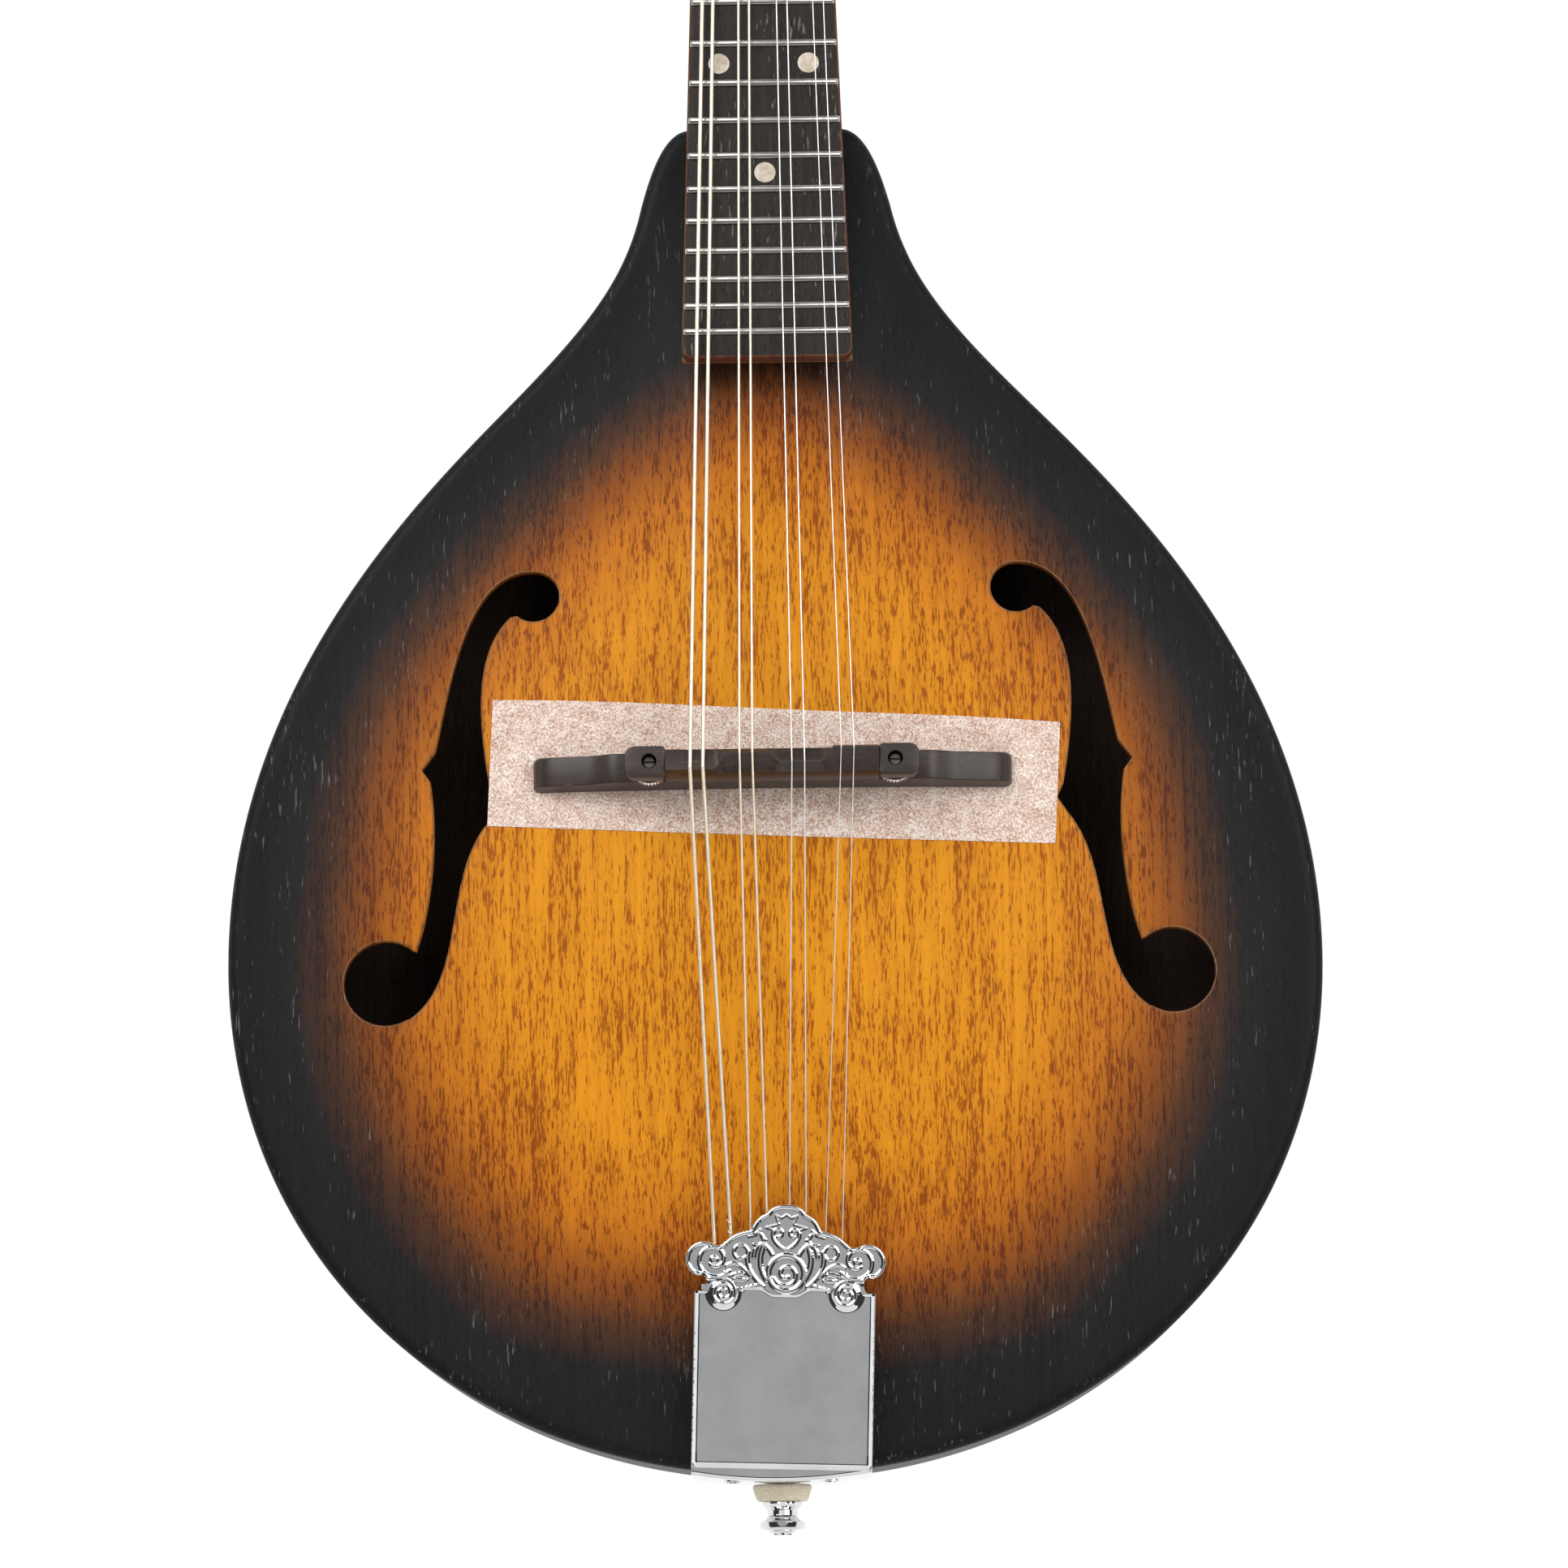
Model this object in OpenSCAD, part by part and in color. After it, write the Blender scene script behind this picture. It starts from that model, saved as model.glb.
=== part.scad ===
// Eight-string carved mandolin: teardrop body with f-holes, movable bridge,
// covered tailpiece and geared tuners. Millimetres throughout.
// It stands upright: +Z runs up the neck, -Y looks out of the face and +X is the
// treble side. The origin is the middle of the strap button's head.
// Inside the modules, x is across, y runs up from the bridge line and z out of the face.

/* [Body] */
// Distance from the bridge line to the tail edge of the body
tail_v = 172; // [168:1:176]
// Distance from the bridge line to the shoulder where the neck joins
shoulder_v = 166.2; // [164:0.1:168]
// Half width of the lower bout
bout_half = 135.3; // [130:0.1:139]
// Thickness of the top and back plates
plate_t = 3; // [2.5:0.1:3.5]
// Height of the ribs between the plates
rib_h = 34; // [30:1:38]
// Thickness of the ribs
rib_t = 2.2; // [1.8:0.1:2.6]
// Rise of the top's arch
top_crown = 9.5; // [8.5:0.1:10.5]
// Rise of the back's arch
back_crown = 7.5; // [6:0.1:9]

/* [Neck] */
// Length of the open strings
scale_len = 350; // [349:0.5:351]
// Set-back of the bridge, which lets the strings play in tune
comp = 1.5; // [1:0.1:2]
// Angle of the neck behind the plane of the ribs
neck_angle = 3.6; // [3.4:0.1:3.8]
// Height of the fingerboard's top over the ribs at the last fret
board_w20 = 18; // [17.5:0.1:18.5]
// Half width of the fingerboard at the nut
board_half_nut = 13.4; // [13:0.1:14]
// Half width of the fingerboard at the last fret
board_half_20 = 21; // [20.5:0.1:21.5]
// Thickness of the fingerboard
board_t = 5; // [4.5:0.1:5.5]
// Number of frets
fret_count = 20; // [18:1:20]
// Height of the frets
fret_h = 1; // [0.8:0.1:1.1]

/* [Headstock] */
// Angle of the headstock behind the fingerboard
head_angle = 14; // [13:0.5:15]
// Thickness of the headstock's wood
head_t = 13.5; // [13:0.5:14]
// Thickness of its face veneer
overlay_t = 1.5; // [1:0.1:1.8]
// Distance between tuner posts
post_pitch = 23; // [23:1:24]
// Half distance between the two rows of posts
post_x = 20; // [19.5:0.1:20.5]

/* [Bridge] */
// Height of the saddle's top over the ribs
saddle_w = 29; // [28.8:0.1:29.4]
// Half length of the bridge base
base_half = 59; // [57:0.5:60]
// Half distance between the height studs
stud_x = 30; // [29.5:0.1:30.5]
// Radius of the thumbwheels
wheel_r = 5; // [4.6:0.1:5.4]

/* [Tailpiece] */
// Half width of the cover
cover_half = 21.9; // [21.7:0.1:22.4]
// Distance from the tail edge to the tip of the cover's crown
cover_len = 64; // [62:0.5:65]
// Degrees by which the cover sits askew
cover_turn = 1.9; // [0:0.1:2]

/* [Hidden] */

$fn = 48;
gap = 0.1;             // between glued or bolted faces
run = 0.05;            // radial play of a shaft in its hole

black_wood = [0.07, 0.06, 0.06];
amber_wood = [0.72, 0.42, 0.12];
pale_wood = [0.85, 0.72, 0.5];
chrome = [0.78, 0.79, 0.82];
nickel_silver = [0.8, 0.8, 0.76];
bronze = [0.72, 0.6, 0.38];

// ---- outline of the body, half of it, from the tail to the neck ----
waist_v = -45;         // height of the widest line
half_outline = [
    [[0, -tail_v], [78, -tail_v], [bout_half, -118], [bout_half, waist_v]],
    [[bout_half, waist_v], [bout_half, 25], [88, 72], [64.5, 96]],
    [[64.5, 96], [45, 116], [35.5, 128], [31.4, 146.5]],
    [[31.4, 146.5], [29.5, 153.2], [26, shoulder_v], [19, shoulder_v]]];
half_steps = [12, 12, 8, 5];

function bezier(p, t) = pow(1 - t, 3) * p[0] + 3 * t * pow(1 - t, 2) * p[1]
    + 3 * t * t * (1 - t) * p[2] + pow(t, 3) * p[3];
function curve(p, n) = [for (i = [0:n - 1]) bezier(p, i / n)];
right_side = concat(
    [for (k = [0:3]) each curve(half_outline[k], half_steps[k])], [half_outline[3][3]]);
outline = concat(right_side,
    [for (i = [len(right_side) - 1:-1:1]) [-right_side[i][0], right_side[i][1]]]);

// The outline moved inwards by d
function unit(v) = v / norm(v);
function inset(pts, d) = [for (i = [0:len(pts) - 1])
    let (n = len(pts), along = unit(pts[(i + 1) % n] - pts[(i + n - 1) % n]))
    pts[i] + d * [-along[1], along[0]]];

// ---- arch of the plates: 1 at the middle, 0 at the edge ----
middle = [0, -15];
flat_edge = 0.94;      // share of the way out at which the arch meets the flat edge
edge_table = [for (p = right_side)
    [atan2(p[1] - middle[1], p[0]), norm(p - middle)]];
function share(x, v) = norm([x, v - middle[1]])
    / lookup(atan2(v - middle[1], max(abs(x), 0.001)), edge_table);
function bell(s) = pow(max(0, 1 - pow(s / flat_edge, 2)), 1.5);
function top_arch(x, v) = top_crown * bell(share(x, v));

// ---- neck and fingerboard ----
function fret_v(n) = scale_len * pow(2, -n / 12) - comp;
last_v = fret_v(20);
nut_v = fret_v(0);
nut_t = 3.5;
neck_slope = tan(neck_angle);
function board_w(v) = board_w20 - (v - last_v) * neck_slope;
function board_half(v) = board_half_20
    + (board_half_nut - board_half_20) * (v - last_v) / (nut_v - last_v);
board_end = last_v - 6.6;
head_v = nut_v + nut_t;
head_w = board_w(head_v) - board_t;

// ---- strings: course centres and half spacings at tail hooks, saddle and nut ----
string_r = [0.5, 0.5, 0.33, 0.33, 0.19, 0.19, 0.14, 0.14];
crest_v = [-2.2, 1.4, -0.8, 2.4];      // where each course leaves the saddle
hook_v = -158;
hook_w = 9.3;
function course(i) = floor(i / 2);
function pair(i) = i % 2 == 0 ? -1 : 1;
function spread(i, inner, outer) = [-outer, -inner, inner, outer][course(i)];
function hook_x(i) = spread(i, 4.07, 11.75) + pair(i) * 2.2;
function saddle_x(i) = spread(i, 6.35, 18.4) + pair(i) * 1.55;
function nut_x(i) = spread(i, 3.5, 10.2) + pair(i) * 1.15;
// Tuner post of each string: 1 to 4 up the bass side, 5 to 8 up the treble side
string_post = [0, 1, 2, 3, 7, 6, 5, 4];
function post_side(k) = k < 4 ? -1 : 1;
function post_y(k) = first_post_y + (k % 4) * post_pitch;
string_z = 7;          // height of a string over the headstock's face at its post

// ---- tail ----
base_t = 1.4;
button_w = -20;
tail_face = -tail_v - 0.2 - base_t;
washer_t = 4.2;
button_face = tail_face - washer_t - gap;
head_mid = 5.55;       // from the button's foot to the middle of its head

// ---- tuners ----
post_r = 3;
first_post_y = 28;     // from the nut to the first pair of posts
gear_r = 6.2;
worm_r = 2.4;
shaft_r = 1.75;
tuner_plate_t = 1.2;
head_back = -overlay_t - head_t;
worm_z = head_back - tuner_plate_t - 2.8;
worm_dy = gear_r + worm_r + 0.3;

// ---- placing ----
module stand() translate([0, button_w, head_mid - button_face]) rotate([90, 0, 0]) children();
module on_neck() translate([0, nut_v, board_w(nut_v) - board_t]) rotate([-neck_angle, 0, 0])
    children();
module on_head() translate([0, head_v, head_w]) rotate([-neck_angle - head_angle, 0, 0])
    children();
module at_tail(x = 0, w = button_w) translate([x, tail_face, w]) rotate([90, 0, 0]) children();
// A profile drawn in x and z, as deep as depth, centred on v
module across(v, depth) translate([0, v + depth / 2, 0]) rotate([90, 0, 0])
    linear_extrude(depth) children();
// A profile drawn in y and z, from x0 and as wide as width
module sideways(x0, width) translate([x0, 0, 0]) rotate([90, 0, 90])
    linear_extrude(width) children();

// A closed skin through rings of equally many points
module skin(rings) {
    n = len(rings[0]);
    m = len(rings);
    sides = [for (k = [0:m - 2]) for (i = [0:n - 1])
        let (j = (i + 1) % n) each [
            [k * n + i, k * n + j, (k + 1) * n + j],
            [k * n + i, (k + 1) * n + j, (k + 1) * n + i]]];
    polyhedron([for (r = rings) each r],
        concat([[for (i = [n - 1:-1:0]) i]], sides, [[for (i = [0:n - 1]) (m - 1) * n + i]]));
}

// ---- body ----
plate_shares = [0.12, 0.26, 0.4, 0.52, 0.62, 0.71, 0.79, 0.86, 0.92];
function level(pts, w) = [for (p = pts) [p[0], p[1], w]];
function ring_at(s, w) = [for (p = outline) [p[0] * s, middle[1] + (p[1] - middle[1]) * s, w]];
// An arched plate with a rounded edge; its flat edge lies between -plate_t and 0
module arched_plate(crown) {
    outer = [for (s = plate_shares) ring_at(s, crown * bell(s))];
    edge = [for (e = [[4, 0], [1.2, 0], [0.35, -0.5], [0, -1.3], [0, -plate_t]])
        level(inset(outline, e[0]), e[1])];
    under = [for (k = [len(plate_shares) - 1:-1:0])
        ring_at(plate_shares[k], crown * bell(plate_shares[k]) - plate_t)];
    skin(concat(outer, edge, under));
}

// ---- f-hole on the treble side: lobes joined by a stem with a nick on each edge ----
bass_shift = [2.1, -1, 0];   // from the treble hole's mirror image to the hand-cut bass hole
upper_lobe = [61, 46.7];
lower_lobe = [98, -49.6];
stem_outer = [
    [[62, 53], [78, 53], [82, 24], [85.6, 8]],
    [[86.9, 0.5], [84.6, -14], [86.5, -32], [91, -43.4]]];
stem_inner = [
    [[92, -58.4], [78, -49], [84, -24], [72.8, -10.5]],
    [[71.8, -3.2], [75, 14], [77, 34], [65.6, 42.8]]];
nick_outer = [89, 3.4];
nick_inner = [70.2, -6.6];
module f_hole() {
    translate(upper_lobe) circle(r = 6.3);
    translate(lower_lobe) circle(r = 10.4);
    polygon(concat(curve(stem_outer[0], 8), [stem_outer[0][3], nick_outer],
        curve(stem_outer[1], 8), [stem_outer[1][3], lower_lobe], curve(stem_inner[0], 8),
        [stem_inner[0][3], nick_inner], curve(stem_inner[1], 8),
        [stem_inner[1][3], upper_lobe]));
}

module top_plate() color(amber_wood) stand() resize([0, 0, 0]) difference() {
    arched_plate(top_crown);
    for (side = [0, 1]) translate(side * bass_shift) mirror([side, 0, 0])
        translate([0, 0, -plate_t - 2]) linear_extrude(top_crown + plate_t + 4) f_hole();
}

module back_plate() color(black_wood) stand()
    translate([0, 0, -2 * plate_t - rib_h]) mirror([0, 0, 1]) arched_plate(back_crown);

// A band inside the outline, between two depths from it and two heights
module band(d0, d1, w0, w1) translate([0, 0, w0]) linear_extrude(w1 - w0) difference() {
    polygon(inset(outline, d0));
    polygon(inset(outline, d1));
}
rib_top = -plate_t - gap / 2;
rib_foot = -plate_t - rib_h + gap / 2;
lining_t = 5;
lining_h = 7;

// Strap screw and the three screws of the tailpiece: x, height, radius
tail_screw_places = [[-12, -9], [12, -9], [0, -30]];
module tail_screw_holes(play) {
    at_tail() translate([0, 0, -30]) cylinder(r = 2 + play, h = 40);
    for (p = tail_screw_places) at_tail(p[0], p[1])
        translate([0, 0, -14]) cylinder(r = 1.3 + play, h = 20);
}

module rim() color(black_wood) stand() difference() {
    band(0.1, rib_t, rib_foot, rib_top);
    tail_screw_holes(gap);
}

// Blocks at both ends of the body, between the ribs
block_half = 32;
neck_block_v = 140;
tail_block_t = 22;
module block(v0, v1) translate([0, 0, rib_foot]) linear_extrude(rib_top - rib_foot)
    intersection() {
        polygon(inset(outline, rib_t + gap));
        translate([-block_half, v0]) square([2 * block_half, v1 - v0]);
    }

module linings() color(pale_wood) stand() difference() {
    union() {
        band(rib_t + gap, rib_t + lining_t, rib_top - lining_h, rib_top);
        band(rib_t + gap, rib_t + lining_t, rib_foot, rib_foot + lining_h);
    }
    for (v = [-tail_v, neck_block_v]) translate([-block_half - gap, v - gap, rib_foot - 1])
        cube([2 * (block_half + gap), 60, rib_h + 2]);
}

module neck_block() color(pale_wood) stand() block(neck_block_v, shoulder_v);

module tail_block() color(pale_wood) stand() difference() {
    block(-tail_v, -tail_v + tail_block_t);
    tail_screw_holes(gap);
}

bar_x = 22;
bar_t = 6;
bar_v = [-125, 112];
bar_foot_w = -8.5;
bar_end_w = -6.2;
module tone_bars() color(pale_wood) stand() for (side = [-1, 1])
    sideways(side * bar_x - bar_t / 2, bar_t) polygon(concat(
        [for (v = [bar_v[0]:(bar_v[1] - bar_v[0]) / 20:bar_v[1]])
            [v, top_arch(bar_x + bar_t / 2, v) - plate_t - 0.35]],
        [[bar_v[1], bar_end_w], [60, bar_foot_w], [-80, bar_foot_w], [bar_v[0], bar_end_w]]));

// ---- neck ----
// Half section of the neck: depth below the fingerboard, and how square it is
neck_stations = [
    [board_end + 0.8, 3.2, 0.2], [132, 3.4, 0.2], [150, 6.4, 0.2], [shoulder_v + 0.05, 8.8, 0.2],
    [shoulder_v + 0.15, 46, 0.75], [170, 45.4, 0.75], [173, 43, 0.8], [176, 37, 0.85],
    [179, 29, 0.9], [183, 22.5, 1], [188, 18.6, 1], [195, 16.2, 1], [205, 15.2, 1],
    [240, 14.8, 1], [290, 14.2, 1], [330, 13.6, 1], [342, 14.2, 1], [head_v, 15, 0.9]];
function neck_ring(s) = let (v = s[0], w = board_w(v) - board_t - gap)
    [for (a = [0:180 / 16:180])
        [-board_half(v) * sign(cos(a)) * pow(abs(cos(a)), s[2]), v,
            w - s[1] * pow(sin(a), s[2])]];
head_len = 128;
head_outline = [
    [[14.5, -4], [15.5, 8], [30, 6], [31, 20]],
    [[31, 20], [31.2, 55], [31.6, 85], [32, 112]],
    [[32, 112], [32.3, 121], [28, 122], [22, 121.5]],
    [[22, 121.5], [13, 120.5], [8, head_len], [0, head_len]]];
head_right = concat([for (s = head_outline) each curve(s, 7)], [head_outline[3][3]]);
module head_shape() polygon(concat(head_right,
    [for (i = [len(head_right) - 2:-1:0]) [-head_right[i][0], head_right[i][1]]]));

rod_z = -7;
rod_r = 2.5;
rod_thread_r = 1.6;
rod_start = -176;
rod_len = 180;
rod_nut_y = [4.8, 13];
bushing_r = 5;
cover_screws = [[-6.4, 5.5], [6.4, 5.5], [0, 23.4]];
plate_screws = [for (k = [0:4]) post_y(0) - 8.5 + k * post_pitch];
function plate_screw_x(k) = k % 2 == 0 ? 14.4 : 25.6;

module post_places() for (k = [0:7]) translate([post_side(k) * post_x, post_y(k), 0]) children();
module rod_pocket() on_neck() translate([-5, nut_t + 0.6, -12.5]) cube([10, 15.5, 30]);
module head_screw_shanks(play) on_head() {
    for (p = cover_screws) translate([p[0], p[1], -8]) cylinder(r = 0.9 + play, h = 9.5);
    for (side = [-1, 1]) for (k = [0:4])
        translate([side * plate_screw_x(k), plate_screws[k], head_back - tuner_plate_t])
            cylinder(r = 0.9 + play, h = 8);
}

module neck() color(black_wood) stand() resize([0, 0, 0]) difference() {
    union() {
        skin([for (s = neck_stations) neck_ring(s)]);
        on_head() translate([0, 0, head_back]) linear_extrude(head_t - gap) head_shape();
    }
    on_head() post_places() translate([0, 0, head_back - 5]) cylinder(r = bushing_r + 0.3, h = 30);
    on_neck() translate([0, rod_start - 2, rod_z]) rotate([-90, 0, 0])
        cylinder(r = rod_r + 0.3, h = rod_len + 4);
    rod_pocket();
    head_screw_shanks(0.2);
}

module truss_rod() color(chrome) stand() on_neck() translate([0, rod_start, rod_z])
    rotate([-90, 0, 0]) union() {
        cylinder(r = rod_r, h = rod_len);
        cylinder(r = rod_thread_r, h = rod_len + 7);
    }

module truss_rod_nut() color("goldenrod") stand() on_neck() translate([0, rod_nut_y[0], rod_z])
    rotate([-90, 0, 0]) difference() {
        cylinder(r = 3.6, h = rod_nut_y[1] - rod_nut_y[0], $fn = 6);
        translate([0, 0, -1]) cylinder(r = rod_thread_r + run, h = 20);
    }

module truss_rod_cover() color(black_wood) stand() on_head() difference() {
    translate([0, 0, gap]) linear_extrude(1.6) polygon(concat(
        curve([[9.4, 1], [9, 12], [5, 16], [4, 26.5]], 8), [[4, 26.5], [-4, 26.5]],
        curve([[-4, 26.5], [-5, 16], [-9, 12], [-9.4, 1]], 8), [[-9.4, 1]]));
    for (p = cover_screws) translate([p[0], p[1], -1]) cylinder(r = 1, h = 5);
}

module headstock_overlay() color(black_wood) stand() difference() {
    on_head() translate([0, 0, -overlay_t]) linear_extrude(overlay_t) difference() {
        head_shape();
        translate([-20, -5]) square([40, 5.2]);
        post_places() circle(r = bushing_r + 0.2);
        for (p = cover_screws) translate(p) circle(r = 1.1);
    }
    rod_pocket();
}

slot_floor = 1.5;      // string height over the board's top at the nut
slot_play = 0.2;
string_lift = 0.1;     // room under each string in its slot
module nut() color("ivory") stand() difference() {
    on_neck() translate([-board_half_nut, 0, 0]) cube([2 * board_half_nut, nut_t, board_t + 2.6]);
    for (i = [0:7]) on_neck() translate([nut_x(i), -1, board_t + slot_floor + string_r[i]])
        rotate([-90, 0, 0]) cylinder(r = string_r[i] + slot_play, h = 6);
    for (i = [0:7]) on_neck()
        translate([nut_x(i) - string_r[i] - slot_play, -1, board_t + slot_floor + string_r[i]])
            cube([2 * (string_r[i] + slot_play), 6, 3]);
}

// ---- fingerboard ----
marker_frets = [5, 7, 10, 15];
marker_r = 2.65;
marker_places = concat([for (n = marker_frets) [0, (fret_v(n) + fret_v(n - 1)) / 2]],
    [for (side = [-1, 1]) [side * 11.2, (fret_v(12) + fret_v(11)) / 2]]);
// Distance below the nut, measured along the board
function along(v) = (v - nut_v) / cos(neck_angle);
tang_t = 0.6;
tang_h = 1.6;

module board_shape() {
    y0 = along(board_end);
    corner = 2.5;
    half = board_half(board_end);
    polygon([[-half + corner, y0], [half - corner, y0], [half - 0.7, y0 + 0.7],
        [half, y0 + corner], [board_half_nut, -gap], [-board_half_nut, -gap],
        [-half, y0 + corner], [-half + 0.7, y0 + 0.7]]);
}

module fretboard() color([0.13, 0.09, 0.07]) stand() on_neck() difference() {
    linear_extrude(board_t) board_shape();
    for (n = [1:fret_count]) translate([-30, along(fret_v(n)) - tang_t / 2, board_t - tang_h])
        cube([60, tang_t, 5]);
    for (p = marker_places) translate([p[0], along(p[1]), board_t - 1.1])
        cylinder(r = marker_r + 0.05, h = 3);
}

module frets() color(nickel_silver) stand() on_neck() for (n = [1:fret_count]) {
    half = board_half(fret_v(n));
    translate([-half + 0.3, along(fret_v(n)), board_t]) rotate([90, 0, 90])
        linear_extrude(2 * half - 0.6) polygon([[-0.25, -tang_h + 0.1], [0.25, -tang_h + 0.1],
            [0.25, 0.02], [0.9, 0.02], [0.75, 0.55], [0.4, fret_h - 0.1], [0, fret_h],
            [-0.4, fret_h - 0.1], [-0.75, 0.55], [-0.9, 0.02], [-0.25, 0.02]]);
}

module position_markers() color("ivory") stand() on_neck()
    for (p = marker_places) translate([p[0], along(p[1]), board_t - 1.05])
        cylinder(r = marker_r, h = 1.05);

// ---- strings ----
function neck_point(x, y, z) = let (a = neck_angle)
    [x, nut_v + y * cos(a) + z * sin(a), board_w(nut_v) - board_t - y * sin(a) + z * cos(a)];
function head_point(x, y, z) = let (a = neck_angle + head_angle)
    [x, head_v + y * cos(a) + z * sin(a), head_w - y * sin(a) + z * cos(a)];
function string_path(i) = let (r = string_r[i], k = string_post[i])
    [[hook_x(i), hook_v + 1.6, hook_w],
        [saddle_x(i), crest_v[course(i)], saddle_w + r + 0.15],
        neck_point(nut_x(i), nut_t - 0.1, board_t + slot_floor + r + string_lift),
        head_point(post_side(k) * (post_x - post_r - r - 0.3), post_y(k), string_z)];
function ring_around(p, dir, r, n) = let (
        t = unit(dir), a = unit(cross(t, [0, 0, 1])), b = cross(a, t))
    [for (j = [0:n - 1]) p + r * (cos(360 * j / n) * a + sin(360 * j / n) * b)];
module one_string(i) {
    path = string_path(i);
    last = len(path) - 1;
    skin([for (k = [0:last]) ring_around(path[k],
        path[min(k + 1, last)] - path[max(k - 1, 0)], string_r[i], 8)]);
    on_head() translate([post_side(string_post[i]) * post_x, post_y(string_post[i]), string_z])
        rotate_extrude() translate([post_r + string_r[i] + 0.3, 0]) circle(r = string_r[i], $fn = 8);
}
module strings(k) color(k < 2 ? bronze : chrome) stand() {
    one_string(2 * k);
    one_string(2 * k + 1);
}

// ---- bridge ----
base_v = 10;
seat = 0.6;            // room for the sheet between the bridge's foot and the top
function foot_w(x) = seat + max([for (v = [-base_v / 2, 0, base_v / 2]) top_arch(x, v)]);
platform_w = 17;
platform_half = 38;
wheel_t = 2.4;
wheel_w = 18.5;        // underside of the thumbwheels
saddle_foot = wheel_w + wheel_t + 0.05;
stud_r = 1.65;
wing = [for (x = [41:3:base_half - 1]) [x, foot_w(x) + 6.4 - 0.1 * (x - 41)]];

module studs_at() for (side = [-1, 1]) translate([side * stud_x, 0, 0]) children();

module bridge_base() color(black_wood) stand() difference() {
    across(0, base_v) polygon(concat(
        [for (x = [-base_half:base_half / 12:base_half]) [x, foot_w(x)]],
        [[base_half, foot_w(base_half) + 3.4]], [for (i = [len(wing) - 1:-1:0]) wing[i]],
        [[platform_half, platform_w], [-platform_half, platform_w]],
        [for (p = wing) [-p[0], p[1]]], [[-base_half, foot_w(base_half) + 3.4]]));
    studs_at() translate([0, 0, 11]) cylinder(r = stud_r + run, h = 20);
}

module bridge_studs() color(chrome) stand() studs_at() translate([0, 0, 11.2])
    cylinder(r = stud_r, h = saddle_w - 12.4);

// Spans of the four courses along the saddle
crest_x = [-26, -12.5, 0, 12.5, 26];
shelf_w = saddle_w - 2.6;
module bridge_saddle() color(black_wood) stand() difference() {
    union() {
        translate([-36, -4.6, saddle_foot]) cube([72, 9.2, shelf_w - saddle_foot]);
        for (k = [0:3]) sideways(crest_x[k], crest_x[k + 1] - crest_x[k]) polygon([
            [-4.2, shelf_w - gap], [4.2, shelf_w - gap], [crest_v[k] + 0.6, saddle_w],
            [crest_v[k] - 0.6, saddle_w]]);
    }
    studs_at() translate([0, 0, saddle_foot - 1]) cylinder(r = stud_r + run, h = 20);
}

module thumbwheel(side) color(chrome) stand() translate([side * stud_x, 0, wheel_w])
    difference() {
        cylinder(r = wheel_r, h = wheel_t);
        translate([0, 0, -1]) cylinder(r = stud_r + run, h = 10);
    }

// ---- tailpiece ----
base_half_w = 18.9;    // inside the cover
end_half_w = 22;       // where it bends over the tail edge
end_v = -169.5;
base_front_v = -126;
hook_r = 1.1;
module tailpiece_base() color(chrome) stand() difference() {
    union() {
        sideways(-base_half_w, 2 * base_half_w) polygon([
            [base_front_v, 4.4], [base_front_v, 4.4 + base_t], [end_v, 2.3], [end_v, 0.5]]);
        sideways(-end_half_w, 2 * end_half_w) polygon([
            [end_v, 0.5], [end_v, 2.3], [-tail_v, 2.1], [tail_face + 0.5, 1.5],
            [tail_face, 0.6], [tail_face, -34], [tail_face + base_t, -34],
            [tail_face + base_t, 0.1], [-tail_v + 1.5, 0.4]]);
        for (side = [-1, 1]) sideways(side * (base_half_w - 0.5) - 0.5, 1) polygon([
            [base_front_v, 5], [-165, 2], [-165, 6], [base_front_v, 9.5]]);
        for (i = [0:7]) translate([hook_x(i), hook_v, 2.6]) cylinder(r = hook_r, h = 7.6);
    }
    at_tail() translate([0, 0, -4]) cylinder(r = 2.1, h = 8);
    for (p = tail_screw_places) at_tail(p[0], p[1]) translate([0, 0, -4])
        cylinder(r = 1.4, h = 8);
}

cover_t = 1.2;
cover_foot = [-tail_v + 1, 10.4];      // underside of the cover at its tail end
cover_tip_w = 18.6;
cover_tilt = atan((cover_tip_w - cover_foot[1]) / (cover_len - 1));
flange_x = cover_half - 1;
// The crowned end: a wide plate with a scroll lobe at each side and a dome at the tip
cover_shoulder = cover_len - 21.3;
lobe = [19.9, cover_len - 13.6];
lobe_r = 4.3;
dome_r = 4.5;
crown_edge = [[19.3, -1], [18.2, 4], [17.4, 10], [15.7, 11.2], [12, 13.6], [8, 14.7], [5.6, 16.4]];
module crown_shape() {
    translate([-cover_half, 0]) square([2 * cover_half, cover_shoulder]);
    for (side = [-1, 1]) translate([side * lobe[0], lobe[1]]) circle(r = lobe_r);
    translate([0, cover_len - 0.2 - dome_r]) circle(r = dome_r);
    translate([0, cover_shoulder]) polygon(concat([for (p = crown_edge) p],
        [for (i = [len(crown_edge) - 1:-1:0]) [-crown_edge[i][0], crown_edge[i][1]]]));
}
module tailpiece_cover() color(chrome) stand() translate([0, -tail_v, 0])
        rotate([0, 0, -cover_turn]) translate([0, tail_v, 0]) union() {
    translate([0, cover_foot[0], cover_foot[1]]) rotate([cover_tilt, 0, 0]) {
        linear_extrude(cover_t) crown_shape();
        translate([-cover_half, 0, -1.2]) cube([2 * cover_half, 1, 2]);
    }
    for (side = [-1, 1]) sideways(side > 0 ? flange_x : -cover_half, cover_half - flange_x)
        polygon([[-168, 2.2], [-122.5, 6.4], [-122.5, cover_tip_w - 1.6],
            [cover_foot[0], cover_foot[1] + 0.2], [cover_foot[0], 3.2]]);
}

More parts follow.
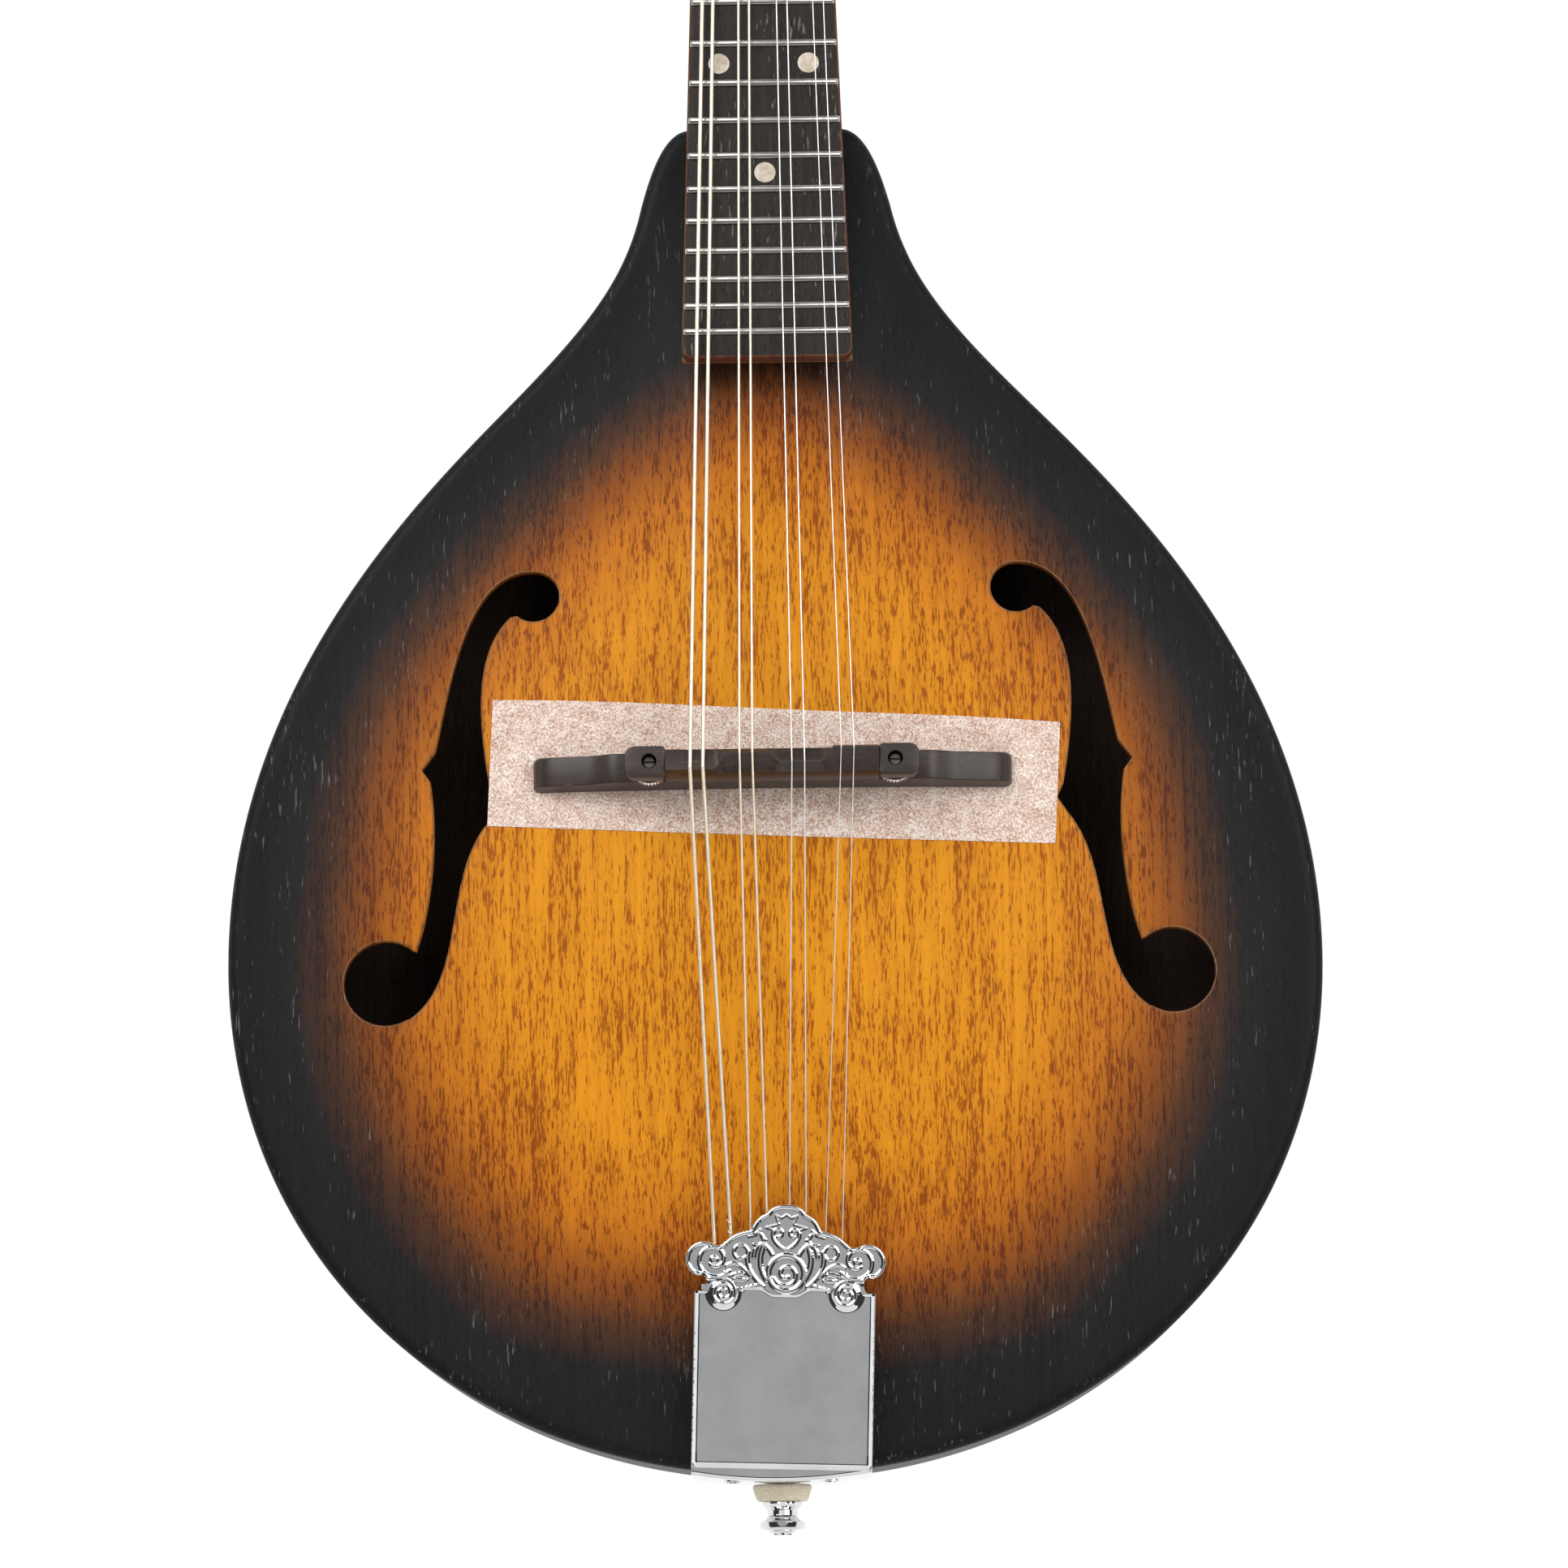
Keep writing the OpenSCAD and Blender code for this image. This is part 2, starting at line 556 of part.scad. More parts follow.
module strap_button() color(chrome) stand() at_tail() translate([0, 0, washer_t + gap])
    rotate_extrude() polygon([[2.1, 0], [5, 0], [5, 0.8], [3.7, 1.3], [3.7, 4.1], [5.2, 4.6],
        [5.5, 4.9], [5.5, 6.2], [5.2, 6.6], [4.4, 6.9], [2.1, 6.9]]);

module felt_washer() color([0.9, 0.85, 0.72]) stand() at_tail() translate([0, 0, gap / 2])
    rotate_extrude() polygon([[2.1, 0], [7.3, 0], [7.3, 0.8], [6.3, washer_t - 0.3],
        [5.8, washer_t], [2.1, washer_t]]);

module tail_screws() color(chrome) stand() {
    at_tail() translate([0, 0, -28]) cylinder(r = 2, h = 28 + washer_t + 7.3);
    at_tail() translate([0, 0, washer_t + 7.1]) cylinder(r1 = 3.6, r2 = 2.6, h = 1);
    for (p = tail_screw_places) at_tail(p[0], p[1]) {
        translate([0, 0, -13]) cylinder(r = 1.3, h = 13.2);
        translate([0, 0, 0.05]) cylinder(r1 = 2.6, r2 = 1.8, h = 1.1);
    }
}

// ---- tuners ----
function worm_y(k) = post_y(k) + worm_dy;
lug_x = [[11.8, 13], [27.2, 28.4]];
module tuner_plate(side) color(chrome) stand() on_head() {
    first = side < 0 ? 0 : 4;
    difference() {
        union() {
            translate([side > 0 ? 11.5 : -29, post_y(0) - 13, head_back - tuner_plate_t - gap])
                cube([17.5, 3 * post_pitch + 30, tuner_plate_t]);
            for (k = [first:first + 3]) for (lug = lug_x)
                translate([side > 0 ? lug[0] : -lug[1], worm_y(k) - 3, worm_z - 3])
                    cube([lug[1] - lug[0], 6, head_back - tuner_plate_t - worm_z + 3]);
        }
        for (k = [first:first + 3]) {
            translate([side * post_x, post_y(k), head_back - 5]) cylinder(r = post_r + 0.2, h = 10);
            translate([0, worm_y(k), worm_z]) rotate([0, side * 90, 0])
                cylinder(r = shaft_r + run, h = 40);
        }
        for (k = [0:4]) translate([side * plate_screw_x(k), plate_screws[k], head_back - 5])
            cylinder(r = 1.05, h = 10);
    }
}

module headstock_screws() color(chrome) stand() {
    head_screw_shanks(0);
    on_head() {
        for (p = cover_screws) translate([p[0], p[1], 1.75]) cylinder(r1 = 1.9, r2 = 1.2, h = 0.7);
        for (p = cover_screws) translate([p[0], p[1], 1]) cylinder(r = 0.9, h = 1);
        for (side = [-1, 1]) for (k = [0:4]) translate([side * plate_screw_x(k),
            plate_screws[k], head_back - tuner_plate_t - gap - 0.95])
                cylinder(r1 = 1.2, r2 = 1.8, h = 0.9);
        for (side = [-1, 1]) for (k = [0:4]) translate([side * plate_screw_x(k),
            plate_screws[k], head_back - tuner_plate_t - 0.6]) cylinder(r = 0.9, h = 2);
    }
}

module post_bushings() color(chrome) stand() on_head() post_places() difference() {
    union() {
        translate([0, 0, -6]) cylinder(r = bushing_r, h = 6.5);
        translate([0, 0, gap / 2]) cylinder(r = bushing_r + 1.3, h = 0.9);
    }
    translate([0, 0, -8]) cylinder(r = post_r + run, h = 12);
}

post_top = 11;
module tuner_post(k) color(chrome) stand() on_head()
    translate([post_side(k) * post_x, post_y(k), 0]) {
        difference() {
            translate([0, 0, worm_z]) cylinder(r = post_r, h = post_top - worm_z);
            translate([-5, 0, string_z + 1.8]) rotate([0, 90, 0]) cylinder(r = 0.7, h = 10);
        }
        translate([0, 0, worm_z - 1.4]) cylinder(r = gear_r, h = 2.8);
        translate([0, 0, worm_z - 2.4]) cylinder(r = 2.2, h = 2);
    }

button_x = [34.6, 47.2];
module tuner_worm(k) color(chrome) stand() on_head()
    translate([0, worm_y(k), worm_z]) rotate([0, post_side(k) * 90, 0]) {
        translate([0, 0, 11.4]) cylinder(r = shaft_r, h = button_x[1] - 3 - 11.4);
        translate([0, 0, 14.6]) cylinder(r = worm_r, h = 11.4);
    }

module tuner_button(k) color([0.93, 0.9, 0.82]) stand() on_head()
    translate([0, worm_y(k), worm_z]) rotate([0, post_side(k) * 90, 0]) difference() {
        union() {
            translate([0, 0, button_x[0]]) cylinder(r1 = 2.6, r2 = 3.2, h = 3);
            translate([0, 0, (button_x[0] + button_x[1]) / 2 + 1]) rotate([0, 90, 0])
                translate([0, 0, -3.2]) linear_extrude(6.4)
                    polygon([for (a = [0:15:345]) [5.4 * cos(a), 7.8 * sin(a)]]);
        }
        cylinder(r = shaft_r + run, h = button_x[1] - 2.9);
    }

// ---- thin sheet laid between the bridge and the top ----
sheet_u = 70.5;
sheet_v = 15.4;
sheet_turn = -2.6;     // degrees it is laid askew
sheet_columns = 26;
sheet_rows = 4;
function sheet_spot(i, j) = let (
        x = sheet_u * (2 * i / sheet_columns - 1), v = sheet_v * (2 * j / sheet_rows - 1))
    [x * cos(sheet_turn) - v * sin(sheet_turn), x * sin(sheet_turn) + v * cos(sheet_turn)];
function sheet_point(p, over) = [p[0], p[1], top_arch(p[0], p[1]) + over];
function sheet_loop(i) = concat([for (j = [0:sheet_rows]) sheet_point(sheet_spot(i, j), 0.12)],
    [for (j = [sheet_rows:-1:0]) sheet_point(sheet_spot(i, j), 0.35)]);
module protective_sheet() color([0.85, 0.75, 0.68, 0.6]) stand()
    skin([for (i = [0:sheet_columns]) sheet_loop(i)]);

top_plate();
back_plate();
rim();
linings();
neck_block();
tail_block();
tone_bars();
neck();
truss_rod();
truss_rod_nut();
truss_rod_cover();
headstock_overlay();
nut();
fretboard();
frets();
position_markers();
strings(0);  // strings_g
strings(1);  // strings_d
strings(2);  // strings_a
strings(3);  // strings_e
bridge_base();
bridge_studs();
bridge_saddle();
thumbwheel(-1);  // thumbwheel_bass
thumbwheel(1);  // thumbwheel_treble
tailpiece_base();
tailpiece_cover();
strap_button();
felt_washer();
tail_screws();
tuner_plate(-1);  // tuner_plate_bass
tuner_plate(1);  // tuner_plate_treble
headstock_screws();
post_bushings();
for (i = [1:8]) tuner_post(i - 1);
for (i = [1:8]) tuner_worm(i - 1);
for (i = [1:8]) tuner_button(i - 1);
protective_sheet();
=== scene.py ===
"""Looks of an eight-string carved mandolin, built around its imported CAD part.

Points are written (x, v, w) in millimetres: x across with the treble side positive,
v up from the bridge line and w out of the face. place() turns them into the frame's metres.
"""
import math
import random

import bmesh
import bpy
import numpy as np
from mathutils import Matrix, Vector
from mathutils.geometry import delaunay_2d_cdt


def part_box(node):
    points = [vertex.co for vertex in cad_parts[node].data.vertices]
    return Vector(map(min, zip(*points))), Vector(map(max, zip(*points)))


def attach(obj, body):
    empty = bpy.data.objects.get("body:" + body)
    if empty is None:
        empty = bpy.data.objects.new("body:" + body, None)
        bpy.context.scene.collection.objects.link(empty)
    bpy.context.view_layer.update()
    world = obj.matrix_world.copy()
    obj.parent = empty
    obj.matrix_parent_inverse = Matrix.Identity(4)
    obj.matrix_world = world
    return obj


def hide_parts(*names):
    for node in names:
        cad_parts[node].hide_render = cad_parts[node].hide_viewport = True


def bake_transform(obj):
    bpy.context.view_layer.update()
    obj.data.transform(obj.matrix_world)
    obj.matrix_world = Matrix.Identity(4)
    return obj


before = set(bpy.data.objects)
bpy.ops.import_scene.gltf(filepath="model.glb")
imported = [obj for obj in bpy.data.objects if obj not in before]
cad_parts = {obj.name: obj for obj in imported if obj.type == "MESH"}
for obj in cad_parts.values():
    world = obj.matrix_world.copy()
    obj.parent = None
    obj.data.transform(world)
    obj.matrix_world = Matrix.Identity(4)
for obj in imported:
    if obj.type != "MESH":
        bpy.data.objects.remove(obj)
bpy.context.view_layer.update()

MM = 0.001
PI = math.pi

# ---- the CAD's places, from its boxes ----
plate_low, plate_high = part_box("top_plate")
TAIL_V = -172.0
PLATE_T = 3.0
Z0 = plate_low.z - TAIL_V * MM                 # height of the bridge line
Y0 = plate_high.y - PLATE_T * MM               # plane of w = 0


def place(points):
    p = np.asarray(points, float).reshape(-1, 3)
    return np.c_[p[:, 0] * MM, Y0 - p[:, 2] * MM, Z0 + p[:, 1] * MM]


def show(obj):
    bpy.context.scene.collection.objects.link(obj)
    return obj


# ---- camera ----
FOCAL = 130.4
PITCH, YAW, ROLL = math.radians(9), math.radians(0.15), math.radians(0.75)
DISTANCE = 1408.5
AIM = (2.74, -1.81, 0.0)
camera = show(bpy.data.objects.new("camera", bpy.data.cameras.new("camera")))
turn = (Matrix.Rotation(YAW, 3, "Z") @ Matrix.Rotation(PITCH, 3, "X")
        @ Matrix.Rotation(ROLL, 3, "Y"))
look = turn @ Vector((0, 1, 0))
camera.data.sensor_width = 36
camera.data.lens = FOCAL
camera.data.clip_start, camera.data.clip_end = 0.05, 30
camera.matrix_world = (
    Matrix.Translation(Vector(place([AIM])[0]) - look * DISTANCE * MM)
    @ (turn @ Matrix.Rotation(PI / 2, 3, "X")).to_4x4())
bpy.context.scene.camera = camera
bpy.context.scene.view_settings.view_transform = "Standard"


# ---- meshes ----
SAME = 1e-6                            # metres between points that count as one


def level(loop, z):
    return np.c_[loop, np.full(len(loop), z)]


def turns(n):
    """n angles evenly round a full turn."""
    return np.linspace(0, 2 * PI, n, endpoint=False)


def polar(r, a):
    return np.c_[r * np.cos(a), r * np.sin(a)]


def circle(x, y, r, n=32):
    return polar(r, turns(n)) + (x, y)


def arc(x, y, r, start, end, n):
    """Points round part of a circle, from one angle in degrees to another."""
    return polar(r, np.radians(np.linspace(start, end, n))) + (x, y)


def moved(rule):
    """A map of points, from a rule that gives the new x, y and z for the old ones."""
    return lambda p: np.stack(rule(*np.moveaxis(np.asarray(p, float), -1, 0)), -1)


class Form:
    """Vertices and faces of one piece, gathered from several parts."""

    def __init__(self):
        self.points, self.faces, self.kinds, self.count = [], [], [], 0

    def add(self, points, faces, kind=0):
        self.faces += [[int(i) + self.count for i in f] for f in faces]
        self.kinds += [kind] * len(faces)
        self.points.append(np.asarray(points, float))
        self.count += len(points)

    def loft(self, rings, kind=0, caps=True):
        """A skin through rings of equally many points."""
        rings = np.asarray(rings, float)
        m, n = rings.shape[:2]
        faces = [(k * n + i, k * n + (i + 1) % n, (k + 1) * n + (i + 1) % n, (k + 1) * n + i)
                 for k in range(m - 1) for i in range(n)]
        if caps:
            faces += [tuple(range(n))[::-1], tuple(range((m - 1) * n, m * n))]
        self.add(rings.reshape(-1, 3), faces, kind)

    def lathe(self, profile, at, sides=32, kind=0):
        """A turned solid from (radius, height) pairs; a radius may differ at each of the sides."""
        self.loft(at(np.array([level(polar(r, turns(sides)), z) for r, z in profile])), kind)

    def slab(self, loop, low, high, bevel, at, holes=(), edge_kind=0, blind=None):
        """A plate between two heights with rounded edges and holes. blind is a pocket in its
        top: a loop and the height of its floor."""
        rows = [(bevel * (1 - math.sin(a)), low + bevel * (1 - math.cos(a)))
                for a in np.linspace(0, PI / 2, 4)]
        rows += [(d, low + high - z) for d, z in rows[::-1]]
        self.loft(at([level(inset(loop, d), z) for d, z in rows]), edge_kind, False)
        pockets = [blind[0]] if blind else []
        for z, own in ((low, list(holes)), (high, list(holes) + pockets)):
            pts, faces, _ = fill(inset(loop, bevel), own, np.zeros((0, 2)), 1)
            self.add(at(level(pts, z)), faces)
        for h in holes:
            self.loft(at([level(h, low), level(h, high)]), 0, False)
        if blind:
            self.loft(at([level(blind[0], high), level(blind[0], blind[1])]), 0, False)
            self.add(at(level(blind[0], blind[1])), [tuple(range(len(blind[0])))])

    def make(self, name, body, finishes, slot, replaces=(), sharp=35, **attributes):
        """The finished piece, riding on a body; attributes are functions of x and v."""
        points = np.vstack(self.points)
        data = bpy.data.meshes.new(name)
        data.from_pydata(place(points).tolist(), [], self.faces)
        for f in finishes:
            data.materials.append(f)
        data.polygons.foreach_set("material_index", self.kinds)
        turn_out(data)
        data.shade_smooth()
        data.set_sharp_from_angle(angle=math.radians(sharp))
        spots = np.zeros(len(data.vertices) * 3)
        data.vertices.foreach_get("co", spots)
        x, v = spots[::3] / MM, (spots[2::3] - Z0) / MM
        for key, value in attributes.items():
            layer = data.attributes.new(key, "FLOAT", "POINT")
            layer.data.foreach_set("value", value(x, v).astype(np.float32))
        obj = show(bpy.data.objects.new(name, data))
        if body:
            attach(obj, body)
        if replaces:
            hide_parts(*replaces)
        return obj


def turn_out(data):
    """Joins points that coincide and turns every face outwards."""
    bm = bmesh.new()
    bm.from_mesh(data)
    bmesh.ops.remove_doubles(bm, verts=bm.verts, dist=SAME)
    bmesh.ops.recalc_face_normals(bm, faces=bm.faces)
    bm.to_mesh(data)
    bm.free()


def bezier(p, n, end=False):
    t = np.linspace(0, 1, n + 1)[:None if end else n, None]
    p = np.asarray(p, float)
    return (1 - t) ** 3 * p[0] + 3 * t * (1 - t) ** 2 * p[1] + 3 * t * t * (1 - t) * p[2] + t ** 3 * p[3]


def inset(loop, d):
    """A loop moved to the left of its direction by d."""
    along = np.roll(loop, -1, 0) - np.roll(loop, 1, 0)
    along /= np.linalg.norm(along, axis=1)[:, None]
    return loop + d * np.c_[-along[:, 1], along[:, 0]]


def inside(pts, loop):
    x, y = pts[:, :1], pts[:, 1:2]
    a, b = loop, np.roll(loop, -1, 0)
    rise = b[:, 1] - a[:, 1]
    at = a[:, 0] + (y - a[:, 1]) * (b[:, 0] - a[:, 0]) / np.where(rise == 0, 1e-9, rise)
    return (((a[:, 1] > y) != (b[:, 1] > y)) & (x < at)).sum(1) % 2 == 1


def within(pts, loop, holes):
    """Which points lie in a loop but in none of the holes."""
    keep = inside(pts, loop)
    for h in holes:
        keep &= ~inside(pts, h)
    return keep


def nearest(pts, loop):
    return np.sqrt(((pts[:, None] - loop[None]) ** 2).sum(2)).min(1)


def lattice(low, high, spacing, stretch=1.0):
    """Points of a triangular lattice in a rectangle."""
    rows = np.arange(low[1], high[1], spacing * 0.866 * stretch)
    return np.array([(x + (k % 2) * spacing / 2, y) for k, y in enumerate(rows)
                     for x in np.arange(low[0], high[0], spacing)])


def fill(loop, holes, grid, margin):
    """Triangles over the area in a loop but not in the holes, through the grid's points that
    lie at least margin inside. Gives points, faces, and the points that each loop became."""
    loops = [loop, *holes]
    grid = grid[within(grid, loop, holes)]
    for h in loops:
        grid = grid[nearest(grid, h) > margin]
    starts = np.cumsum([0] + [len(h) for h in loops])
    pts = np.vstack(loops + [grid])
    edges = [(s + i, s + (i + 1) % len(h)) for s, h in zip(starts, loops) for i in range(len(h))]
    verts, _, faces, origin, _, _ = delaunay_2d_cdt(
        [Vector(p) for p in pts.tolist()], edges, [], 0, 1e-7)
    verts = np.array([(v.x, v.y) for v in verts])
    keep = within(np.array([verts[f].mean(0) for f in faces]), loop, holes)
    became = {o: i for i, some in enumerate(origin) for o in some}
    return (verts, [f for f, k in zip(faces, keep) if k],
            [[became[s + i] for i in range(len(h))] for s, h in zip(starts, loops)])


def sweep(path, radii, sides=10):
    """Rings round a path, with a radius at each of its points."""
    p = np.asarray(path, float)
    radii = np.broadcast_to(radii, len(p))
    t = np.gradient(p, axis=0)
    t /= np.linalg.norm(t, axis=1)[:, None]
    a = np.array((0.0, 0.0, 1.0))
    turn = turns(sides)
    rings = []
    for q, d, r in zip(p, t, radii):
        a = a - d * (a @ d)
        a /= np.linalg.norm(a)
        b = np.cross(d, a)
        rings.append(q + r * (np.outer(np.cos(turn), a) + np.outer(np.sin(turn), b)))
    return rings


# ---- finishes ----
def tone(r, g, b):
    """A colour given in steps of 0 to 255, as linear light."""
    return tuple(((c / 255 + 0.055) / 1.055) ** 2.4 for c in (r, g, b)) + (1.0,)


def shades(*rows):
    """Stops for a ramp, from rows of a position and a colour."""
    return [(at, tone(*color)) for at, *color in rows]


class Wiring:
    """Nodes being wired; add() makes a node and returns one of its outputs."""

    def __init__(self, tree):
        self.tree = tree

    def wire(self, node, inputs):
        for key, value in inputs.items():
            if isinstance(value, bpy.types.NodeSocket):
                self.tree.links.new(value, node.inputs[key])
            else:
                node.inputs[key].default_value = value

    def add(self, kind, inputs=(), output=0, **settings):
        node = self.tree.nodes.new("ShaderNode" + kind)
        for key, value in settings.items():
            setattr(node, key, value)
        self.wire(node, dict(inputs))
        return node.outputs[output]

    def noise(self, scale, stretch=(1, 1, 1), detail=2.0, roughness=0.5):
        drawn = self.add("Mapping", {"Vector": self.add("TexCoord", output="Object"),
                                     "Scale": stretch})
        return self.add("TexNoise", {"Vector": drawn, "Scale": scale, "Detail": detail,
                                     "Roughness": roughness})

    def ramp(self, value, *stops):
        out = self.add("ValToRGB", {"Fac": value})
        ramp = out.node.color_ramp
        for k, (at, color) in enumerate(stops):
            e = ramp.elements[k] if k < 2 else ramp.elements.new(at)
            e.position, e.color = at, color
        return out

    def step(self, value, low, high, start=0.0, end=1.0, **settings):
        """From start to end as a value goes from low to high."""
        return self.add("MapRange", {"Value": value, "From Min": low, "From Max": high,
                                     "To Min": start, "To Max": end}, **settings)

    def math(self, kind, a, b=0.0):
        return self.add("Math", {0: a, 1: b}, operation=kind)

    def mix(self, share, a, b):
        return self.add("Mix", {0: share, 6: a, 7: b}, 2, data_type="RGBA")


class Finish(Wiring):
    """A material, from its name and its shader's settings."""

    def __init__(self, name, **shader):
        self.mat = bpy.data.materials.new(name + "_look")
        self.mat.use_nodes = True
        super().__init__(self.mat.node_tree)
        self.shader = self.tree.nodes["Principled BSDF"]
        self.wire(self.shader, {k.replace("_", " "): v for k, v in shader.items()})

    def bump(self, height, depth, strength=1.0):
        out = self.add("Bump", {"Height": height, "Distance": depth, "Strength": strength})
        self.wire(self.shader, {"Normal": out})


# The wood's marks, GLINT being the painted highlights on pores: the scale of their noise, and how far it
# is drawn out along the grain
PORE, LINE, FIGURE, GLINT, PATCH = (2100, 0.14), (800, 0.02), (75, 0.35), (1500, 0.1), (60, 0.3)
PORE_DEPTH, BANDS = 0.00003, 0.35


def wood(name, light, dark, painted_glints, roughness=0.42, specular=0.1, run=2, cover=0.8):
    """Lacquered wood with pores that run along axis run. light, dark and painted_glints are ramps over
    the attribute burst: the ground, the pores in it, and painted highlights on pores that catch the
    light."""
    f = Finish(name, Roughness=roughness, Specular_IOR_Level=specular)
    dye = f.add("Attribute", output="Fac", attribute_name="burst")

    def marks(size, detail, rough=0.5):
        stretch = tuple(size[1] if k == run else 1.0 for k in range(3))
        return f.noise(size[0], stretch, detail, rough)

    pore, line, figure = marks(PORE, 3.0, 0.62), marks(LINE, 3.0, 0.55), marks(FIGURE, 3.0, 0.6)
    drift = f.math("ADD", f.math("MULTIPLY", line, 0.6), f.math("MULTIPLY", figure, 0.4))
    cut = f.math("ADD", pore, f.math("MULTIPLY", f.math("SUBTRACT", drift, 0.5), 0.7))
    share = f.step(cut, 0.52, 0.60)
    pores = f.ramp(dye, *dark)
    banding = f.math("MULTIPLY", f.step(drift, 0.35, 0.65), BANDS)
    color = f.mix(banding, f.ramp(dye, *light), pores)
    color = f.mix(f.math("MULTIPLY", share, cover), color, pores)
    patch = f.math("MULTIPLY", marks(PATCH, 1.0), 0.25)
    # Painted glints: pores coloured as if they catch the light, scattered by noise
    glint_share = f.step(f.math("ADD", marks(GLINT, 2.0, 0.6), patch), 0.79, 0.85)
    color = f.mix(glint_share, color, f.ramp(dye, *painted_glints))
    f.wire(f.shader, {"Base Color": color})
    f.bump(f.math("MULTIPLY", cut, -1.0), PORE_DEPTH, 0.5)
    return f.mat


# Ground, pores and painted glints from the middle (0) through the edge of the burst (1) to the rim
top_wood = wood(
    "stained_top",
    shades((0, 230, 155, 32), (0.45, 224, 145, 28), (0.57, 200, 118, 27), (0.64, 150, 82, 26),
           (0.71, 82, 52, 34), (0.77, 36, 34, 35), (0.85, 26, 28, 29)),
    shades((0, 150, 68, 10), (0.45, 140, 62, 10), (0.57, 116, 46, 10), (0.64, 84, 36, 14),
           (0.71, 48, 30, 24), (0.77, 26, 25, 27), (0.85, 21, 22, 23)),
    shades((0, 214, 134, 34), (0.57, 176, 96, 28), (0.66, 124, 88, 64), (0.75, 90, 88, 87),
           (0.85, 80, 83, 85)))
BURST_SCALE = 1.5                      # burst 1.5 is the ramp's far end


def burst(x, v):
    """Distance from the middle of the amber, which reaches further on the bass side;
    1 / BURST_SCALE where it turns to black."""
    x = np.where(x < 0, 0.97 * x, x)
    reach = np.interp(np.degrees(np.arctan2(v + 20, np.abs(x))),
                      (-90, -75, -60, -40, 0, 40, 60, 75, 90),
                      (113, 113, 118, 113, 98, 95, 99, 107, 118))
    return np.hypot(x, v + 20) / reach / BURST_SCALE


body_wood = wood(
    "stained_body",
    shades((0, 92, 48, 30), (0.5, 70, 38, 26), (0.7, 30, 24, 23), (0.8, 24, 24, 25)),
    shades((0, 52, 26, 18), (0.5, 42, 24, 18), (0.7, 22, 19, 19), (0.8, 18, 18, 19)),
    shades((0, 120, 72, 48), (0.5, 96, 62, 46), (0.7, 70, 68, 68), (0.8, 64, 64, 66)))


# One colour each for the ground, the pores and the painted glints
def plain_wood(name, ground, pores, glint_color, **more):
    return wood(name, *(shades((0, *c), (1, *c)) for c in (ground, pores, glint_color)), **more)


bare_wood = plain_wood("bare_wood", (196, 150, 104), (158, 110, 70), (214, 172, 128),
                       roughness=0.75)
# The plates' inner faces: bare wood darkened as painted shade for the inside of the body
inner_wood_painted_shade = plain_wood("inner_wood_painted_shade", (62, 50, 44), (44, 36, 31), (74, 62, 54), roughness=0.9)
neck_wood = plain_wood("stained_neck", (24, 24, 25), (16, 16, 17), (58, 58, 60), roughness=0.38)
pale_edge = plain_wood("underlay", (168, 124, 90), (122, 82, 56), (190, 148, 110),
                       roughness=0.55, run=0)
ebony = plain_wood("ebony", (30, 27, 27), (20, 18, 18), (60, 56, 54), roughness=0.3, specular=0.3)
board_wood = plain_wood("fingerboard", (47, 41, 38), (28, 23, 21), (116, 104, 94),
                        roughness=0.5, specular=0.2)
board_edge = plain_wood("fingerboard_side", (106, 68, 50), (66, 40, 30), (132, 92, 70),
                        roughness=0.5)
bridge_wood = plain_wood("bridge_wood", (56, 45, 39), (38, 29, 25), (94, 72, 58), roughness=0.36,
                         specular=0.45, run=0, cover=0.6)
# Painted highlight: a pale ring on the f-holes' eased edges, where they catch the light
painted_edge_highlight = plain_wood("painted_edge_highlight", (132, 104, 76), (96, 66, 42), (160, 134, 106), roughness=0.5)


def metal(name, color, roughness, spread=0.05, scale=400, stretch=(1, 1, 1), wear=0.0):
    """Polished metal, with a little haze that comes and goes."""
    f = Finish(name, Metallic=1.0)
    haze = f.noise(scale, stretch, 4.0, 0.6)
    worn = tuple(c * 0.75 for c in color[:3]) + (1.0,)
    f.wire(f.shader, {"Roughness": f.step(haze, 0.35, 0.75, roughness, roughness + spread),
                      "Base Color": f.ramp(haze, (0.3, color), (0.9, worn))})
    if wear:
        f.bump(haze, wear, 0.4)
    return f


chrome = metal("chrome", (0.86, 0.87, 0.89, 1), 0.035, 0.05, 90).mat
steel = metal("steel", (0.5, 0.5, 0.52, 1), 0.35, 0.15, 900, (1, 1, 0.1), 0.00002).mat
bolt = metal("bolt", (0.13, 0.125, 0.12, 1), 0.4, 0.15, 700, wear=0.00001).mat
brass = metal("brass", (0.78, 0.57, 0.26, 1), 0.2, 0.15, 500, wear=0.00001).mat
fret_metal = metal("fret_wire", (0.6, 0.58, 0.54, 1), 0.26, 0.14, 700, (0.2, 1, 1), 0.00001).mat
plain = metal("plain_string", (0.97, 0.97, 0.97, 1), 0.4, 0.1, 1500, (1, 1, 0.05)).mat


def winding(name, color):
    """Wire wound round a string, as fine bands across it."""
    f = metal(name, color, 0.4, 0.12, 1200)
    bands = f.add("TexWave", {"Vector": f.add("TexCoord", output="Object"), "Scale": 700.0,
                              "Distortion": 0.0}, 1, wave_type="BANDS", bands_direction="Z")
    f.bump(bands, 0.00005, 0.5)
    return f.mat


wound = winding("bronze_string", (1.0, 0.93, 0.76, 1))
bronze_tail = winding("bronze_string_tail", (1.0, 0.9, 0.7, 1))

# Painted shade: blocks in this dark finish stand in for the shade in the slots of screws, studs and
# posts
dark = Finish("screw_slot_painted_shade", Roughness=0.8)
shade_tone = dark.ramp(dark.noise(900), *shades((0.3, 12, 12, 13), (0.7, 24, 23, 22)))
dark.wire(dark.shader, {"Base Color": shade_tone})
painted_slot_shade = dark.mat


